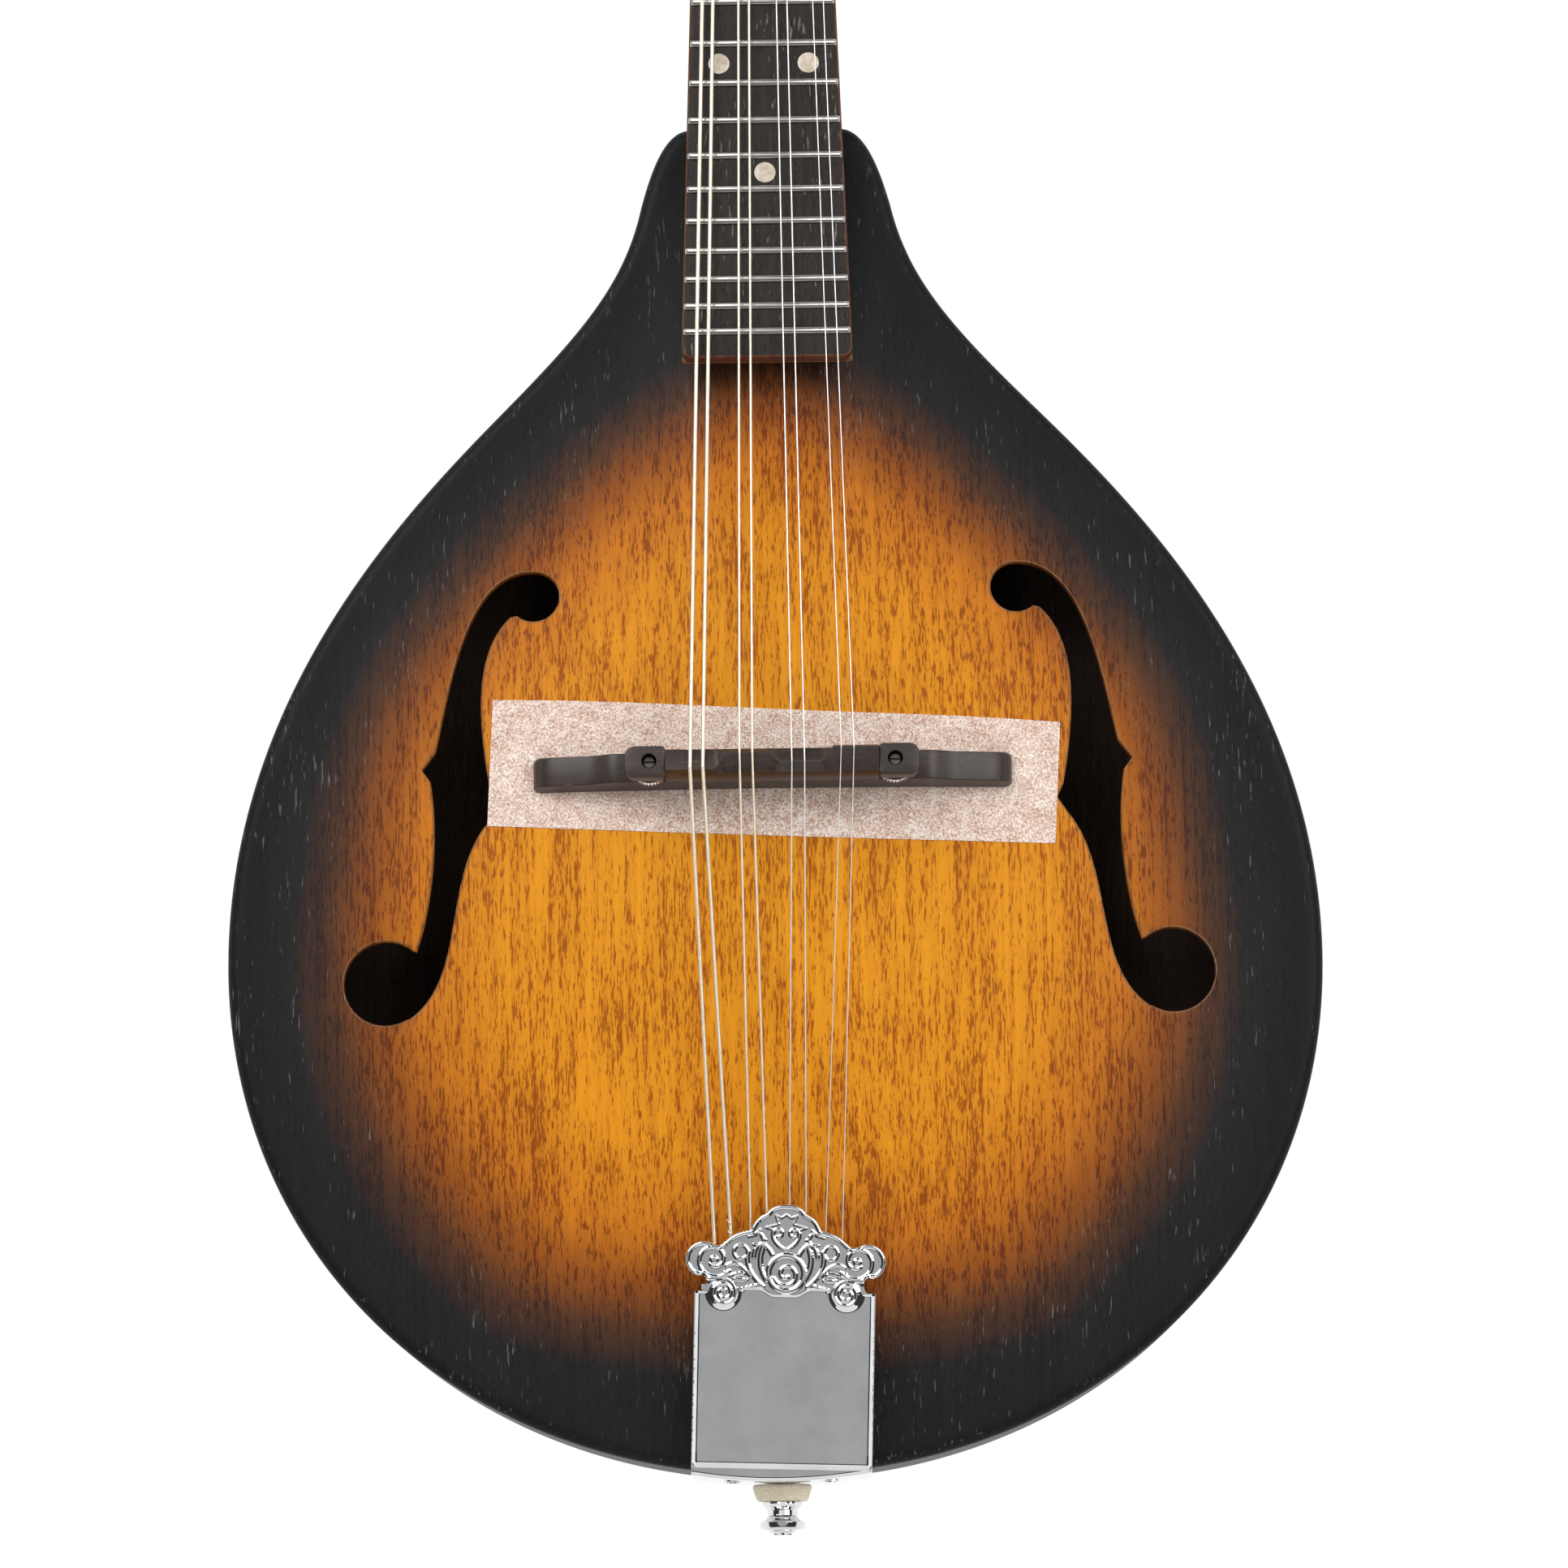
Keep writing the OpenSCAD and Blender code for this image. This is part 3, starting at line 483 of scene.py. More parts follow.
def cloudy(name, low, high, scale, roughness, **shader):
    """A smooth material whose colour drifts between two tones."""
    f = Finish(name, Roughness=roughness, **shader)
    drift = f.noise(scale, detail=4.0, roughness=0.6)
    f.wire(f.shader, {"Base Color": f.ramp(drift, *shades((0.35, *low), (0.65, *high)))})
    return f


bone = cloudy("bone", (214, 203, 178), (232, 224, 204), 300, 0.35).mat
pearl = cloudy("pearl", (190, 174, 154), (222, 208, 190), 700, 0.22, Coat_Weight=0.4).mat
button_finish = cloudy("button_plastic", (222, 214, 192), (240, 236, 222), 260, 0.2,
                       Coat_Weight=0.3).mat
wool = cloudy("felt", (238, 218, 182), (255, 248, 226), 2600, 0.95, Sheen_Weight=0.3)
wool.bump(wool.noise(4200, detail=4.0), 0.00035, 0.8)
felt = wool.mat

paper = Finish("tissue", Roughness=0.6, Specular_IOR_Level=0.3)
grit = paper.noise(1900, detail=3.0, roughness=0.7)
cloud = paper.noise(330, detail=2.0)
grit = paper.math("ADD", paper.math("MULTIPLY", grit, 0.8), paper.math("MULTIPLY", cloud, 0.2))
paper.wire(paper.shader, {
    "Base Color": paper.ramp(grit, *shades((0.38, 186, 146, 124), (0.5, 232, 204, 188),
                                           (0.62, 255, 246, 238))),
    "Alpha": paper.ramp(grit, (0.36, (0.82, 0.82, 0.82, 1)), (0.64, (0.94, 0.94, 0.94, 1)))})
paper.bump(grit, 0.0001, 0.5)
tissue = paper.mat

# ---- outline and arch of the body ----
BOUT_HALF, WAIST_V, SHOULDER_V = 135.3, -45, 166.2
half_outline = [
    [(0, TAIL_V), (78, TAIL_V), (BOUT_HALF, -118), (BOUT_HALF, WAIST_V)],
    [(BOUT_HALF, WAIST_V), (BOUT_HALF, 25), (88, 72), (64.5, 96)],
    [(64.5, 96), (45, 116), (35.5, 128), (31.4, 146.5)],
    [(31.4, 146.5), (29.5, 153.2), (26, SHOULDER_V), (19, SHOULDER_V)]]
right_side = np.vstack([bezier(p, n) for p, n in zip(half_outline, (64, 64, 36, 24))]
                       + [half_outline[3][3:]])
outline = np.vstack([right_side, right_side[:0:-1] * (-1, 1)])
MIDDLE_V = -15
RIB_H = 34.0
TOP_CROWN, BACK_CROWN = 9.5, 7.5
edge_angle = np.arctan2(right_side[:, 1] - MIDDLE_V, right_side[:, 0])
edge_far = np.hypot(right_side[:, 1] - MIDDLE_V, right_side[:, 0])


def bell(x, v):
    x, v = np.abs(np.asarray(x, float)), np.asarray(v, float) - MIDDLE_V
    share = np.hypot(x, v) / np.interp(np.arctan2(v, np.maximum(x, 0.001)), edge_angle, edge_far)
    return np.maximum(0, 1 - (share / 0.94) ** 2) ** 1.5


def top_w(x, v):
    return TOP_CROWN * bell(x, v)


# ---- f-holes ----
UPPER, LOWER = (61, 46.7, 6.3), (98, -49.6, 10.4)


def lobe_arc(lobe, start, end, count):
    """Points round a lobe, the clockwise way from the side of one point to another."""
    x, v, r = lobe
    a = math.atan2(start[1] - v, start[0] - x)
    b = math.atan2(end[1] - v, end[0] - x)
    b -= 2 * PI * (b > a)
    return polar(r, np.linspace(a, b, count + 2)[1:-1]) + (x, v)


def beyond(points, lobe):
    return points[np.hypot(points[:, 0] - lobe[0], points[:, 1] - lobe[1]) > lobe[2]]


def f_hole():
    down = np.vstack([bezier([(62, 53), (78, 53), (82, 24), (85.6, 8)], 26, True), [(89, 3.4)],
                      bezier([(86.9, 0.5), (84.6, -14), (86.5, -32), (91, -43.4)], 24, True)])
    up = np.vstack([bezier([(92, -58.4), (78, -49), (84, -24), (72.8, -10.5)], 26, True),
                    [(70.2, -6.6)],
                    bezier([(71.8, -3.2), (75, 14), (77, 34), (65.6, 42.8)], 24, True)])
    down, up = beyond(down, LOWER), beyond(up, UPPER)
    return np.vstack([down, lobe_arc(LOWER, down[-1], up[0], 44), up,
                      lobe_arc(UPPER, up[-1], down[0], 30)])


hole = f_hole()
EASE = 0.45                            # rounding of the f-hole's edge
ROUND_D, ROUND_W = 3.3, 2.6            # rounding of the plates' edges, inwards and down


def plate(name, slot, holes, crown, turn, finishes):
    """An arched plate with a rounded edge. turn maps a height over its flat edge to w."""
    form = Form()
    flat = inset(outline, ROUND_D)
    pts, faces, loops = fill(flat, [inset(h, s * EASE) for h, s in holes],
                             lattice(flat.min(0), flat.max(0), 3.0), 1.6)
    rise = crown * bell(pts[:, 0], pts[:, 1])
    n = len(pts)
    form.add(np.c_[pts, turn(rise)], faces)
    form.add(np.c_[pts, turn(rise - PLATE_T)], faces, 1)
    edge = [(ROUND_D * (1 - math.sin(a)), ROUND_W * (math.cos(a) - 1))
            for a in np.linspace(0, PI / 2, 8)[1:]] + [(0, -PLATE_T)]
    bridge_loops(form, loops[0], [level(inset(outline, d), turn(w)) for d, w in edge], n)
    for (h, s), loop in zip(holes, loops[1:]):
        rise = crown * bell(h[:, 0], h[:, 1])
        rings = [np.c_[inset(h, s * EASE * (1 - q)), turn(rise - EASE * e)]
                 for q, e in ((0.6, 0.12), (1, 0.7), (1, PLATE_T / EASE - 0.7))]
        # The first ring, round the eased edge, takes kind 2, the painted edge highlight
        bridge_loops(form, loop, rings, n, 2)
    return form.make(name + "_shell", "body", finishes, slot, (name,), burst=burst)


def bridge_loops(form, loop, rings, offset, first_kind=0):
    """Faces from a loop of points already in a form, through rings that are new, to the loop
    whose points come offset later."""
    ladder = [loop]
    for ring in rings:
        ladder.append([form.count + i for i in range(len(ring))])
        form.add(ring, [])
    ladder.append([i + offset for i in loop])
    for step, (a, b) in enumerate(zip(ladder, ladder[1:])):
        m = len(a)
        form.faces += [[a[i], a[(i + 1) % m], b[(i + 1) % m], b[i]] for i in range(m)]
        form.kinds += [0 if step else first_kind] * m


BASS_SHIFT = (2.1, -1)                 # from the mirror image to the hand-cut bass hole
plate("top_plate", "stained_top", [(hole, 1), (hole * (-1, 1) + BASS_SHIFT, -1)], TOP_CROWN,
      lambda h: h, [top_wood, inner_wood_painted_shade, painted_edge_highlight])
plate("back_plate", "stained_body", [], BACK_CROWN, lambda h: -2 * PLATE_T - RIB_H - h,
      [body_wood, inner_wood_painted_shade])

# ---- ribs ----
RIB_T = 2.2
ribs = Form()
rows = [(0, -PLATE_T), (0, -PLATE_T - RIB_H), (RIB_T, -PLATE_T - RIB_H), (RIB_T, -PLATE_T)]
ribs.loft([level(inset(outline, d), w) for d, w in rows + rows[:1]], 0, False)
ribs.make("rim_shell", "body", [body_wood], "stained_body", ("rim",), burst=burst)

# ---- neck, in its own planes ----
def tilted(v, w, angle):
    """A map from (x, y up the plane, z out of it) to (x, v, w)."""
    c, s = math.cos(angle), math.sin(angle)
    return moved(lambda x, y, z: (x, v + y * c + z * s, w - y * s + z * c))


def spot(plane, x, y, z=0, face=1):
    """A map to a spot on a plane, on its front or, with face -1, its back."""
    return lambda p: plane(np.asarray(p, float) * (1, face, face) + (x, y, z))


SCALE, SET_BACK = 350.0, 1.5
BOARD_W, BOARD_T, NUT_T = 18.0, 5.0, 3.5
NECK_ANGLE, HEAD_ANGLE = math.radians(3.6), math.radians(17.6)
NUT_HALF, END_HALF = 13.4, 21.0


def fret_v(n):
    return SCALE * 2 ** (-n / 12) - SET_BACK


NUT_V, LAST_V = fret_v(0), fret_v(20)
HEAD_V, BOARD_END = NUT_V + NUT_T, LAST_V - 6.6


def board_w(v):
    return BOARD_W - (v - LAST_V) * math.tan(NECK_ANGLE)


def board_half(v):
    return END_HALF + (NUT_HALF - END_HALF) * (v - LAST_V) / (NUT_V - LAST_V)


def board_y(v):
    return (v - NUT_V) / math.cos(NECK_ANGLE)


on_neck = tilted(NUT_V, board_w(NUT_V) - BOARD_T, NECK_ANGLE)
on_head = tilted(HEAD_V, board_w(HEAD_V) - BOARD_T, HEAD_ANGLE)
face_up = tilted(0, 0, 0)

heel = np.array([
    [166.25, 46, 0.75], [170, 45.4, 0.75], [173, 43, 0.8], [176, 37, 0.85], [179, 29, 0.9],
    [183, 22.5, 1], [188, 18.6, 1], [195, 16.2, 1], [205, 15.2, 1], [240, 14.8, 1],
    [290, 14.2, 1], [330, 13.6, 1], [342, 14.2, 1], [HEAD_V, 15, 0.9]])
tongue = np.array([[BOARD_END + 0.8, 3.2, 0.2], [132, 3.4, 0.2], [150, 6.4, 0.2], [166.2, 8.8, 0.2]])


def neck_rings(stations, per_step, sides=48):
    """Half-round sections under the board; a station is (v, depth, squareness)."""
    at = np.arange(len(stations))
    fine = np.linspace(0, at[-1], at[-1] * per_step + 1)
    k = np.clip(fine.astype(int), 0, at[-1] - 1)
    t = (fine - k)[:, None]
    slope = np.gradient(stations, axis=0)
    rows = (stations[k] * (1 + 2 * t) * (1 - t) ** 2 + stations[k + 1] * t * t * (3 - 2 * t)
            + slope[k] * t * (1 - t) ** 2 - slope[k + 1] * t * t * (1 - t))
    rings = []
    for v, depth, square in rows:
        a = np.linspace(0, PI, sides + 1)
        rings.append(np.c_[-board_half(v) * np.sign(np.cos(a)) * np.abs(np.cos(a)) ** square,
                           np.full(sides + 1, v),
                           board_w(v) - BOARD_T - 0.1 - depth * np.sin(a) ** square])
    return rings


neck = Form()
neck.loft(neck_rings(heel, 5), 0)
head_curves = [
    [(14.5, -4), (15.5, 8), (30, 6), (31, 20)],
    [(31, 20), (31.2, 55), (31.6, 85), (32, 112)],
    [(32, 112), (32.3, 121), (28, 122), (22, 121.5)],
    [(22, 121.5), (13, 120.5), (8, 128), (0, 128)]]
head_right = np.vstack([bezier(p, 14) for p in head_curves] + [[(0, 128)]])
head_loop = np.vstack([head_right, head_right[-2::-1] * (-1, 1)])
HEAD_BACK, OVERLAY_T = -15.0, 1.5
POST_X, POST_PITCH, FIRST_POST, BUSHING_R = 20.0, 23.0, 28.0, 5.3


def side_of(k):
    return -1 if k < 4 else 1


def post_y(k):
    return FIRST_POST + k % 4 * POST_PITCH


post_holes = [circle(side_of(k) * POST_X, post_y(k), BUSHING_R) for k in range(8)]
pocket = np.array([(-5, 1.2), (5, 1.2), (5, 16.5), (-5, 16.5)], float)
neck.slab(head_loop, HEAD_BACK, -OVERLAY_T - 0.1, 1.6, on_head, post_holes, blind=(pocket, -12.5))
neck.make("neck_shell", "body", [neck_wood], "stained_neck", ("neck",), sharp=30)
spacer = Form()
spacer.loft(neck_rings(tongue, 6), 0)
spacer.make("board_underlay", "body", [pale_edge], "stained_neck", sharp=40)

overlay = Form()
overlay_loop = np.vstack([[(14.6, 0.2)], head_right[3:], head_right[-2:2:-1] * (-1, 1),
                          [(-14.6, 0.2)]])
overlay.slab(overlay_loop, -OVERLAY_T, 0, 0.5, on_head, post_holes + [pocket])
overlay.make("overlay_shell", "body", [ebony], "dark_wood", ("headstock_overlay",))
lid = Form()
lid_right = bezier([(9.4, 1), (9, 12), (5, 16), (4, 26.5)], 12, True)
lid.slab(np.vstack([lid_right, lid_right[::-1] * (-1, 1)]), 0.1, 1.7, 0.5, on_head)
lid.make("truss_cover_shell", "body", [ebony], "dark_wood", ("truss_rod_cover",))

# ---- fingerboard, frets, markers and nut ----
board = Form()
CORNER = 2.6
end_y, end_half = board_y(BOARD_END), board_half(BOARD_END)
corner = arc(end_half - CORNER, end_y + CORNER, CORNER, -90, 0, 7)
board_loop = np.vstack([corner, [(NUT_HALF, -0.1), (-NUT_HALF, -0.1)], corner[::-1] * (-1, 1)])
steps = []
for a, b in zip(board_loop, np.roll(board_loop, -1, 0)):
    steps.append(a + (b - a) * np.arange(0, 1, 4 / max(4, np.hypot(*(b - a))))[:, None])
board_loop = np.vstack(steps)
board.slab(board_loop, 0, BOARD_T, 0.45, on_neck, edge_kind=1)
board.make("fretboard_shell", "body", [board_wood, board_edge], "dark_wood", ("fretboard",))

frets = Form()
crown_line = [(-0.9, -0.3)] + [(-0.9 * math.cos(a), 0.98 * math.sin(a) ** 0.8)
                               for a in np.linspace(0.12, PI - 0.12, 9)] + [(0.9, -0.3)]
for n in range(1, 21):
    half, y = board_half(fret_v(n)) - 0.3, board_y(fret_v(n))
    rings = []
    for out, scale in ((0, 0.3), (0.35, 0.75), (0.75, 1)):
        rings.append([(out - half, y + a * (0.75 + 0.25 * scale), BOARD_T + b * scale)
                      for a, b in crown_line])
    rings += [[(-x, a, b) for x, a, b in r] for r in rings[::-1]]
    frets.loft(on_neck(rings))
frets.make("fret_set", "body", [fret_metal], "fret_wire", ("frets",))

dots = Form()
MARKER_R = 2.65
for x, n in ((0, 5), (0, 7), (0, 10), (0, 15), (-11.2, 12), (11.2, 12)):
    y = board_y((fret_v(n) + fret_v(n - 1)) / 2)
    dots.lathe([(MARKER_R, 4.0), (MARKER_R, 5.0), (MARKER_R - 0.2, 5.06)], spot(on_neck, x, y), 40)
dots.make("pearl_dots", "body", [pearl], "pearl", ("position_markers",))

# ---- strings ----
STRING_R = [0.5, 0.5, 0.33, 0.33, 0.19, 0.19, 0.14, 0.14]
CREST_V = [-2.2, 1.4, -0.8, 2.4]
HOOK_V, HOOK_W, SADDLE_W = -158.0, 9.3, 29.0
HOOK_SPREAD, HOOK_GAP = (4.07, 11.75, 2.2), 1.6
STRING_POST = [0, 1, 2, 3, 7, 6, 5, 4]
POST_R, STRING_Z = 3.0, 7.0
COURSES = ["g", "d", "a", "e"]


def spread(i, inner, outer, half):
    """Where string i lies across: its course, at inner or outer, and half their distance."""
    return [-outer, -inner, inner, outer][i // 2] + (1 if i % 2 else -1) * half


def string_points(i):
    """Hook, saddle, both edges of the nut, and where the string meets its post."""
    r, k = STRING_R[i], STRING_POST[i]
    nut_x = spread(i, 3.5, 10.2, 1.15)
    nut_z = BOARD_T + 1.5 + r + 0.1
    return [np.array((spread(i, *HOOK_SPREAD), HOOK_V + HOOK_GAP, HOOK_W)),
            np.array((spread(i, 6.35, 18.4, 1.55), CREST_V[i // 2], SADDLE_W + r + 0.1)),
            on_neck((nut_x, 0.2, nut_z)), on_neck((nut_x, NUT_T - 0.1, nut_z)),
            on_head((side_of(k) * (POST_X - POST_R - r - 0.1), post_y(k), STRING_Z))]


def dense(a, b, pitch):
    return a + (b - a) * np.linspace(0, 1, int(np.linalg.norm(b - a) / pitch) + 2)[:, None]


def string_front(form, i):
    saddle, edge, nut, post = string_points(i)[1:]
    k, r = STRING_POST[i], STRING_R[i]
    path = np.vstack([dense(saddle, edge, 3), dense(edge, nut, 2)[1:], dense(nut, post, 3)[1:]])
    a = np.linspace(0, 2 * PI * 3.2, 100)
    side = side_of(k)
    coil = on_head(np.c_[side * (POST_X - (POST_R + r + 0.1) * np.cos(a)),
                         post_y(k) + (POST_R + r + 0.1) * np.sin(a), STRING_Z - a / 2 / PI * 2.2 * r])
    form.loft(sweep(np.vstack([path, coil[1:]]), r, 10))
    tip = on_head([(side * (POST_X + x), post_y(k), 8.8) for x in (-4.2, -2, 2, 4.6)])
    form.loft(sweep(tip, r, 8))


def string_tail(form, i):
    """Saddle to hook: the string, its twisted end and the loop over the hook."""
    hook, saddle = string_points(i)[:2]
    r = STRING_R[i]
    along_it = (saddle - hook) / np.linalg.norm(saddle - hook)
    twist = 46 if i == 1 else 26
    end = hook + along_it * twist
    form.loft(sweep(dense(hook, saddle, 4), r, 10))
    core = dense(hook, end, 0.35)
    turn = np.linspace(0, twist * 2.4, len(core))
    side, up = np.array((1.0, 0, 0)), np.cross((1.0, 0, 0), along_it)
    wrap = 0.17
    around = (r + wrap) * (np.outer(np.cos(turn), side) + np.outer(np.sin(turn), up))
    form.loft(sweep(core + around, wrap, 6))
    a = np.linspace(-0.5 * PI + 0.25, 1.5 * PI - 0.25, 25)
    eye = hook - (0, HOOK_GAP, 0)
    form.loft(sweep(eye + 1.45 * np.c_[np.cos(a), -np.sin(a) * 1.05, 0 * a], 0.24, 8))


for c, course in enumerate(COURSES):
    wire, slot = (wound, "bronze_string") if c < 2 else (plain, "plain_string")
    ends = np.array([string_points(2 * c), string_points(2 * c + 1)]).mean(0)
    for part, draw, far in (("front", string_front, ends[2]), ("tail", string_tail, ends[0])):
        form = Form()
        draw(form, 2 * c)
        draw(form, 2 * c + 1)
        finish = bronze_tail if part == "tail" and c < 2 else wire
        obj = form.make(f"string_{course}_{part}", None, [finish], slot,
                        (f"strings_{course}",), sharp=60)
        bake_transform(obj)

# ---- bridge ----
BASE_OUT, PLATFORM, PLATFORM_W, SEAT = 59.0, 39.0, 17.0, 0.6


def foot_w(x):
    return SEAT + max(top_w(x, v) for v in (-5, 0, 5))


def step01(t):
    t = np.clip(t, 0, 1)
    return t * t * (3 - 2 * t)


def bridge_top(x):
    x = abs(x)
    if x <= PLATFORM:
        return PLATFORM_W
    wing = foot_w(x) + 6.4 - 0.1 * (x - 41)
    if x < 46:
        return wing + (PLATFORM_W - wing) * (1 - math.sin(PI / 2 * (x - PLATFORM) / (46 - PLATFORM)))
    out = max(0.0, (x - 52.5) / (BASE_OUT - 52.5))
    return wing - 3.6 * (1 - math.sqrt(max(0.0, 1 - out ** 2)))


def across(x, section):
    """The points of a section, given as (v, w), at a place across."""
    return np.c_[np.full(len(section), x), section]


def base_section(half, low, high, slope=0.8, r=0.3):
    """Points round the base: its foot, sides leaning in by slope, top edges rounded."""
    out = half - slope - r
    return np.vstack([[(-half, low), (half, low)], arc(out, high - r, r, 0, 90, 5),
                      arc(-out, high - r, r, 90, 180, 5)])


base = Form()
rings = []
for x in np.r_[-59, -58.8, -58.3, np.linspace(-57.5, 57.5, 116), 58.3, 58.8, 59]:
    round_end = max(0.0, abs(x) - 57) / 2
    rings.append(across(x, base_section(4.4 - 1.1 * round_end ** 3, foot_w(x),
                                        bridge_top(x) - 0.3 * round_end ** 2)))
base.loft(rings)
base.make("bridge_base_carved", "body", [bridge_wood], "dark_wood", ("bridge_base",), sharp=30)

SADDLE_FOOT, SHELF_W = 20.95, 26.6
CREST_HALF, STEPS = 26, [-12.5, 0.5, 13.5]         # the crest's length, and where it steps


def crest_at(x):
    v = CREST_V[np.searchsorted(STEPS, x)]
    for k, edge in enumerate(STEPS):
        t = (x - edge + 1.5) / 3
        if 0 <= t <= 1:
            v = CREST_V[k] + (CREST_V[k + 1] - CREST_V[k]) * t
    return v


def saddle_section(x):
    crest = crest_at(x)
    low = SADDLE_FOOT + 0.9 * step01((abs(x) - 20) / 3.5)
    back = max(2.7, crest + 0.9)
    return [(-4.3, low), (3.7, low), (back + 0.35, 24), (back, 27.2 + 0.25 * (crest > 0)),
            (crest + 0.35, SADDLE_W), (crest - 0.35, SADDLE_W), (min(crest - 0.7, -3.0), 27.6),
            (-3.5, 26.9), (-4.2, 23)]


saddle = Form()
xs = np.unique(np.r_[np.linspace(-CREST_HALF, CREST_HALF, 105),
                     [x + s for x in STEPS for s in (-1.5, 1.5)]])
saddle.loft([across(x, saddle_section(x)) for x in xs])
STUD_X, STUD_HOLE = 30.0, 1.85
for side in (-1, 1):
    block = []
    for cx, cy, a in ((1, 1, 0), (-1, 1, 90), (-1, -1, 180), (1, -1, 270)):
        r = 2.4 if cx * side > 0 else 1.2
        block.append(arc(side * 30.9 + cx * (5.0 - r), cy * (3.9 - r) - 0.2, r, a, a + 90, 7))
    saddle.slab(np.vstack(block), SADDLE_FOOT + 0.3, SHELF_W + 0.9, 0.45, face_up,
                [circle(side * STUD_X, 0, STUD_HOLE, 28)])
saddle.make("saddle_carved", "saddle", [bridge_wood], "dark_wood", ("bridge_saddle",), sharp=28)

studs = Form()
for side in (-1, 1):
    line = [(1.2, 11.2)]
    for z in np.arange(11.4, 24.4, 0.35):
        line += [(1.62, z), (1.35, z + 0.17)]
    line += [(1.6, 24.8), (1.3, 25.2)]
    studs.lathe(line, spot(face_up, side * STUD_X, 0), 28)
    # The stud's slot: a dark block, painted shade for its hollow
    slot_line = np.array([(-1.3, -0.25), (1.3, -0.25), (1.3, 0.25), (-1.3, 0.25)]) + (side * STUD_X, 0)
    studs.loft([level(slot_line, z) for z in (24.8, 25.22)], 1)
studs.make("threaded_studs", "body", [bolt, painted_slot_shade], "steel", ("bridge_studs",))

WHEEL_W, WHEEL_T, WHEEL_R, KNURLS = 18.5, 2.4, 5.0, 34
for name, side in (("bass", -1), ("treble", 1)):
    form = Form()
    rings = []
    knurl = np.tile((0, 0, -0.3, -0.3), KNURLS)
    for inward, w in ((3.0, 0), (0.5, 0), (0.06, 0.3), (0.06, WHEEL_T - 0.3), (0.5, WHEEL_T),
                      (3.0, WHEEL_T)):
        r = WHEEL_R - inward + knurl * (inward < 0.4)
        rings.append(level(polar(r, turns(len(knurl))) + (side * STUD_X, 0), WHEEL_W + w))
    form.loft(rings + rings[:1], 0, False)
    form.make(f"thumbwheel_{name}_knurled", f"wheel_{name}", [chrome], "chrome",
              (f"thumbwheel_{name}",), sharp=25)

# ---- thin sheet laid under the bridge ----
SHEET_CORNERS = np.array([(-70.6, -12.2), (69.5, -18.4), (71.3, 12.0), (-69.2, 19.6)])
sheet = Form()
nu, nv = 150, 36
u, t = np.meshgrid(np.arange(nu + 1) / nu, np.arange(nv + 1) / nv)
near, far = [(SHEET_CORNERS[a] + (SHEET_CORNERS[b] - SHEET_CORNERS[a]) * u[..., None])
             for a, b in ((0, 1), (3, 2))]
x, v = np.moveaxis(near + (far - near) * t[..., None], -1, 0)
v = v - 0.8 * np.sin(PI * u) * (1 - t) + 0.25 * np.sin(9 * u) * (t > 0.999)
curl = 0.35 * np.maximum(0, 2 * np.abs(u - 0.5) - 0.9) * np.abs(2 * t - 1)
low = np.stack([x, v, top_w(x, v) + 0.13 + curl], -1).reshape(-1, 3)
at_rim = (np.minimum(u, t) == 0) | (np.maximum(u, t) == 1)
high = low + np.c_[np.zeros((low.size // 3, 2)), 0.2 - 0.12 * at_rim.ravel()]
m, n = nu + 1, len(low)
quads = [(k, k + 1, k + m + 1, k + m) for j in range(nv) for k in range(j * m, j * m + nu)]
rim = [*range(m), *range(m + nu, n, m), *range(n - 2, n - m - 1, -1), *range(n - 2 * m, 0, -m)]
sheet.add(np.vstack([low, high]), [q[::-1] for q in quads] + [tuple(i + n for i in q) for q in quads]
          + [(a, b, b + n, a + n) for a, b in zip(rim, rim[1:] + rim[:1])])
foam = sheet.make("sheet_laid", "body", [tissue], "tissue", ("protective_sheet",), sharp=60)

# ---- tailpiece cover, drawn in its own plane ----
COVER_HALF, COVER_LEN, COVER_T = 21.9, 64.0, 1.2
COVER_FOOT, COVER_TILT, COVER_TURN = (-171.0, 10.4), math.atan(8.2 / 63), math.radians(1.9)
SHOULDER, LOBE_X, LOBE_Y, LOBE_R = 42.7, 19.9, 50.4, 4.3
cover_plane = tilted(*COVER_FOOT, -COVER_TILT)


def turned_point(x, v, w):
    """The cover's turn about the middle of the tail edge."""
    c, s = math.cos(COVER_TURN), math.sin(COVER_TURN)
    return x * c + (v - TAIL_V) * s, TAIL_V - x * s + (v - TAIL_V) * c, w


askew = moved(turned_point)


def on_cover(p):
    return askew(cover_plane(p))


cover_right = np.vstack([
    [(COVER_HALF, 0), (COVER_HALF, SHOULDER - 0.5)],
    arc(COVER_HALF - 0.5, SHOULDER - 0.5, 0.5, 20, 90, 3),
    arc(20.6, 44.2, 1.5, 268, 180, 7), arc(21.0, 45.0, 2.0, 180, 128, 4)[1:],
    arc(LOBE_X, LOBE_Y, LOBE_R, -72, 125, 26), arc(16.4, 55.6, 1.8, 300, 215, 6),
    bezier([(14.4, 55.0), (12.8, 56.6), (10.9, 57.3), (9.0, 57.5)], 8),
    bezier([(8.5, 57.7), (8.0, 59.4), (6.8, 60.9), (5.1, 61.5)], 8),
    bezier([(4.6, 61.9), (3.8, 63.3), (2.0, COVER_LEN - 0.1), (0, COVER_LEN - 0.1)], 10)])
cover_loop = np.vstack([cover_right, [(0, COVER_LEN - 0.1)], cover_right[::-1] * (-1, 1)])


def resample(loop, pitch):
    closed = np.vstack([loop, loop[:1]])
    s = np.r_[0, np.cumsum(np.linalg.norm(np.diff(closed, axis=0), axis=1))]
    at = np.linspace(0, s[-1], int(s[-1] / pitch), endpoint=False)
    return np.c_[np.interp(at, s, closed[:, 0]), np.interp(at, s, closed[:, 1])]


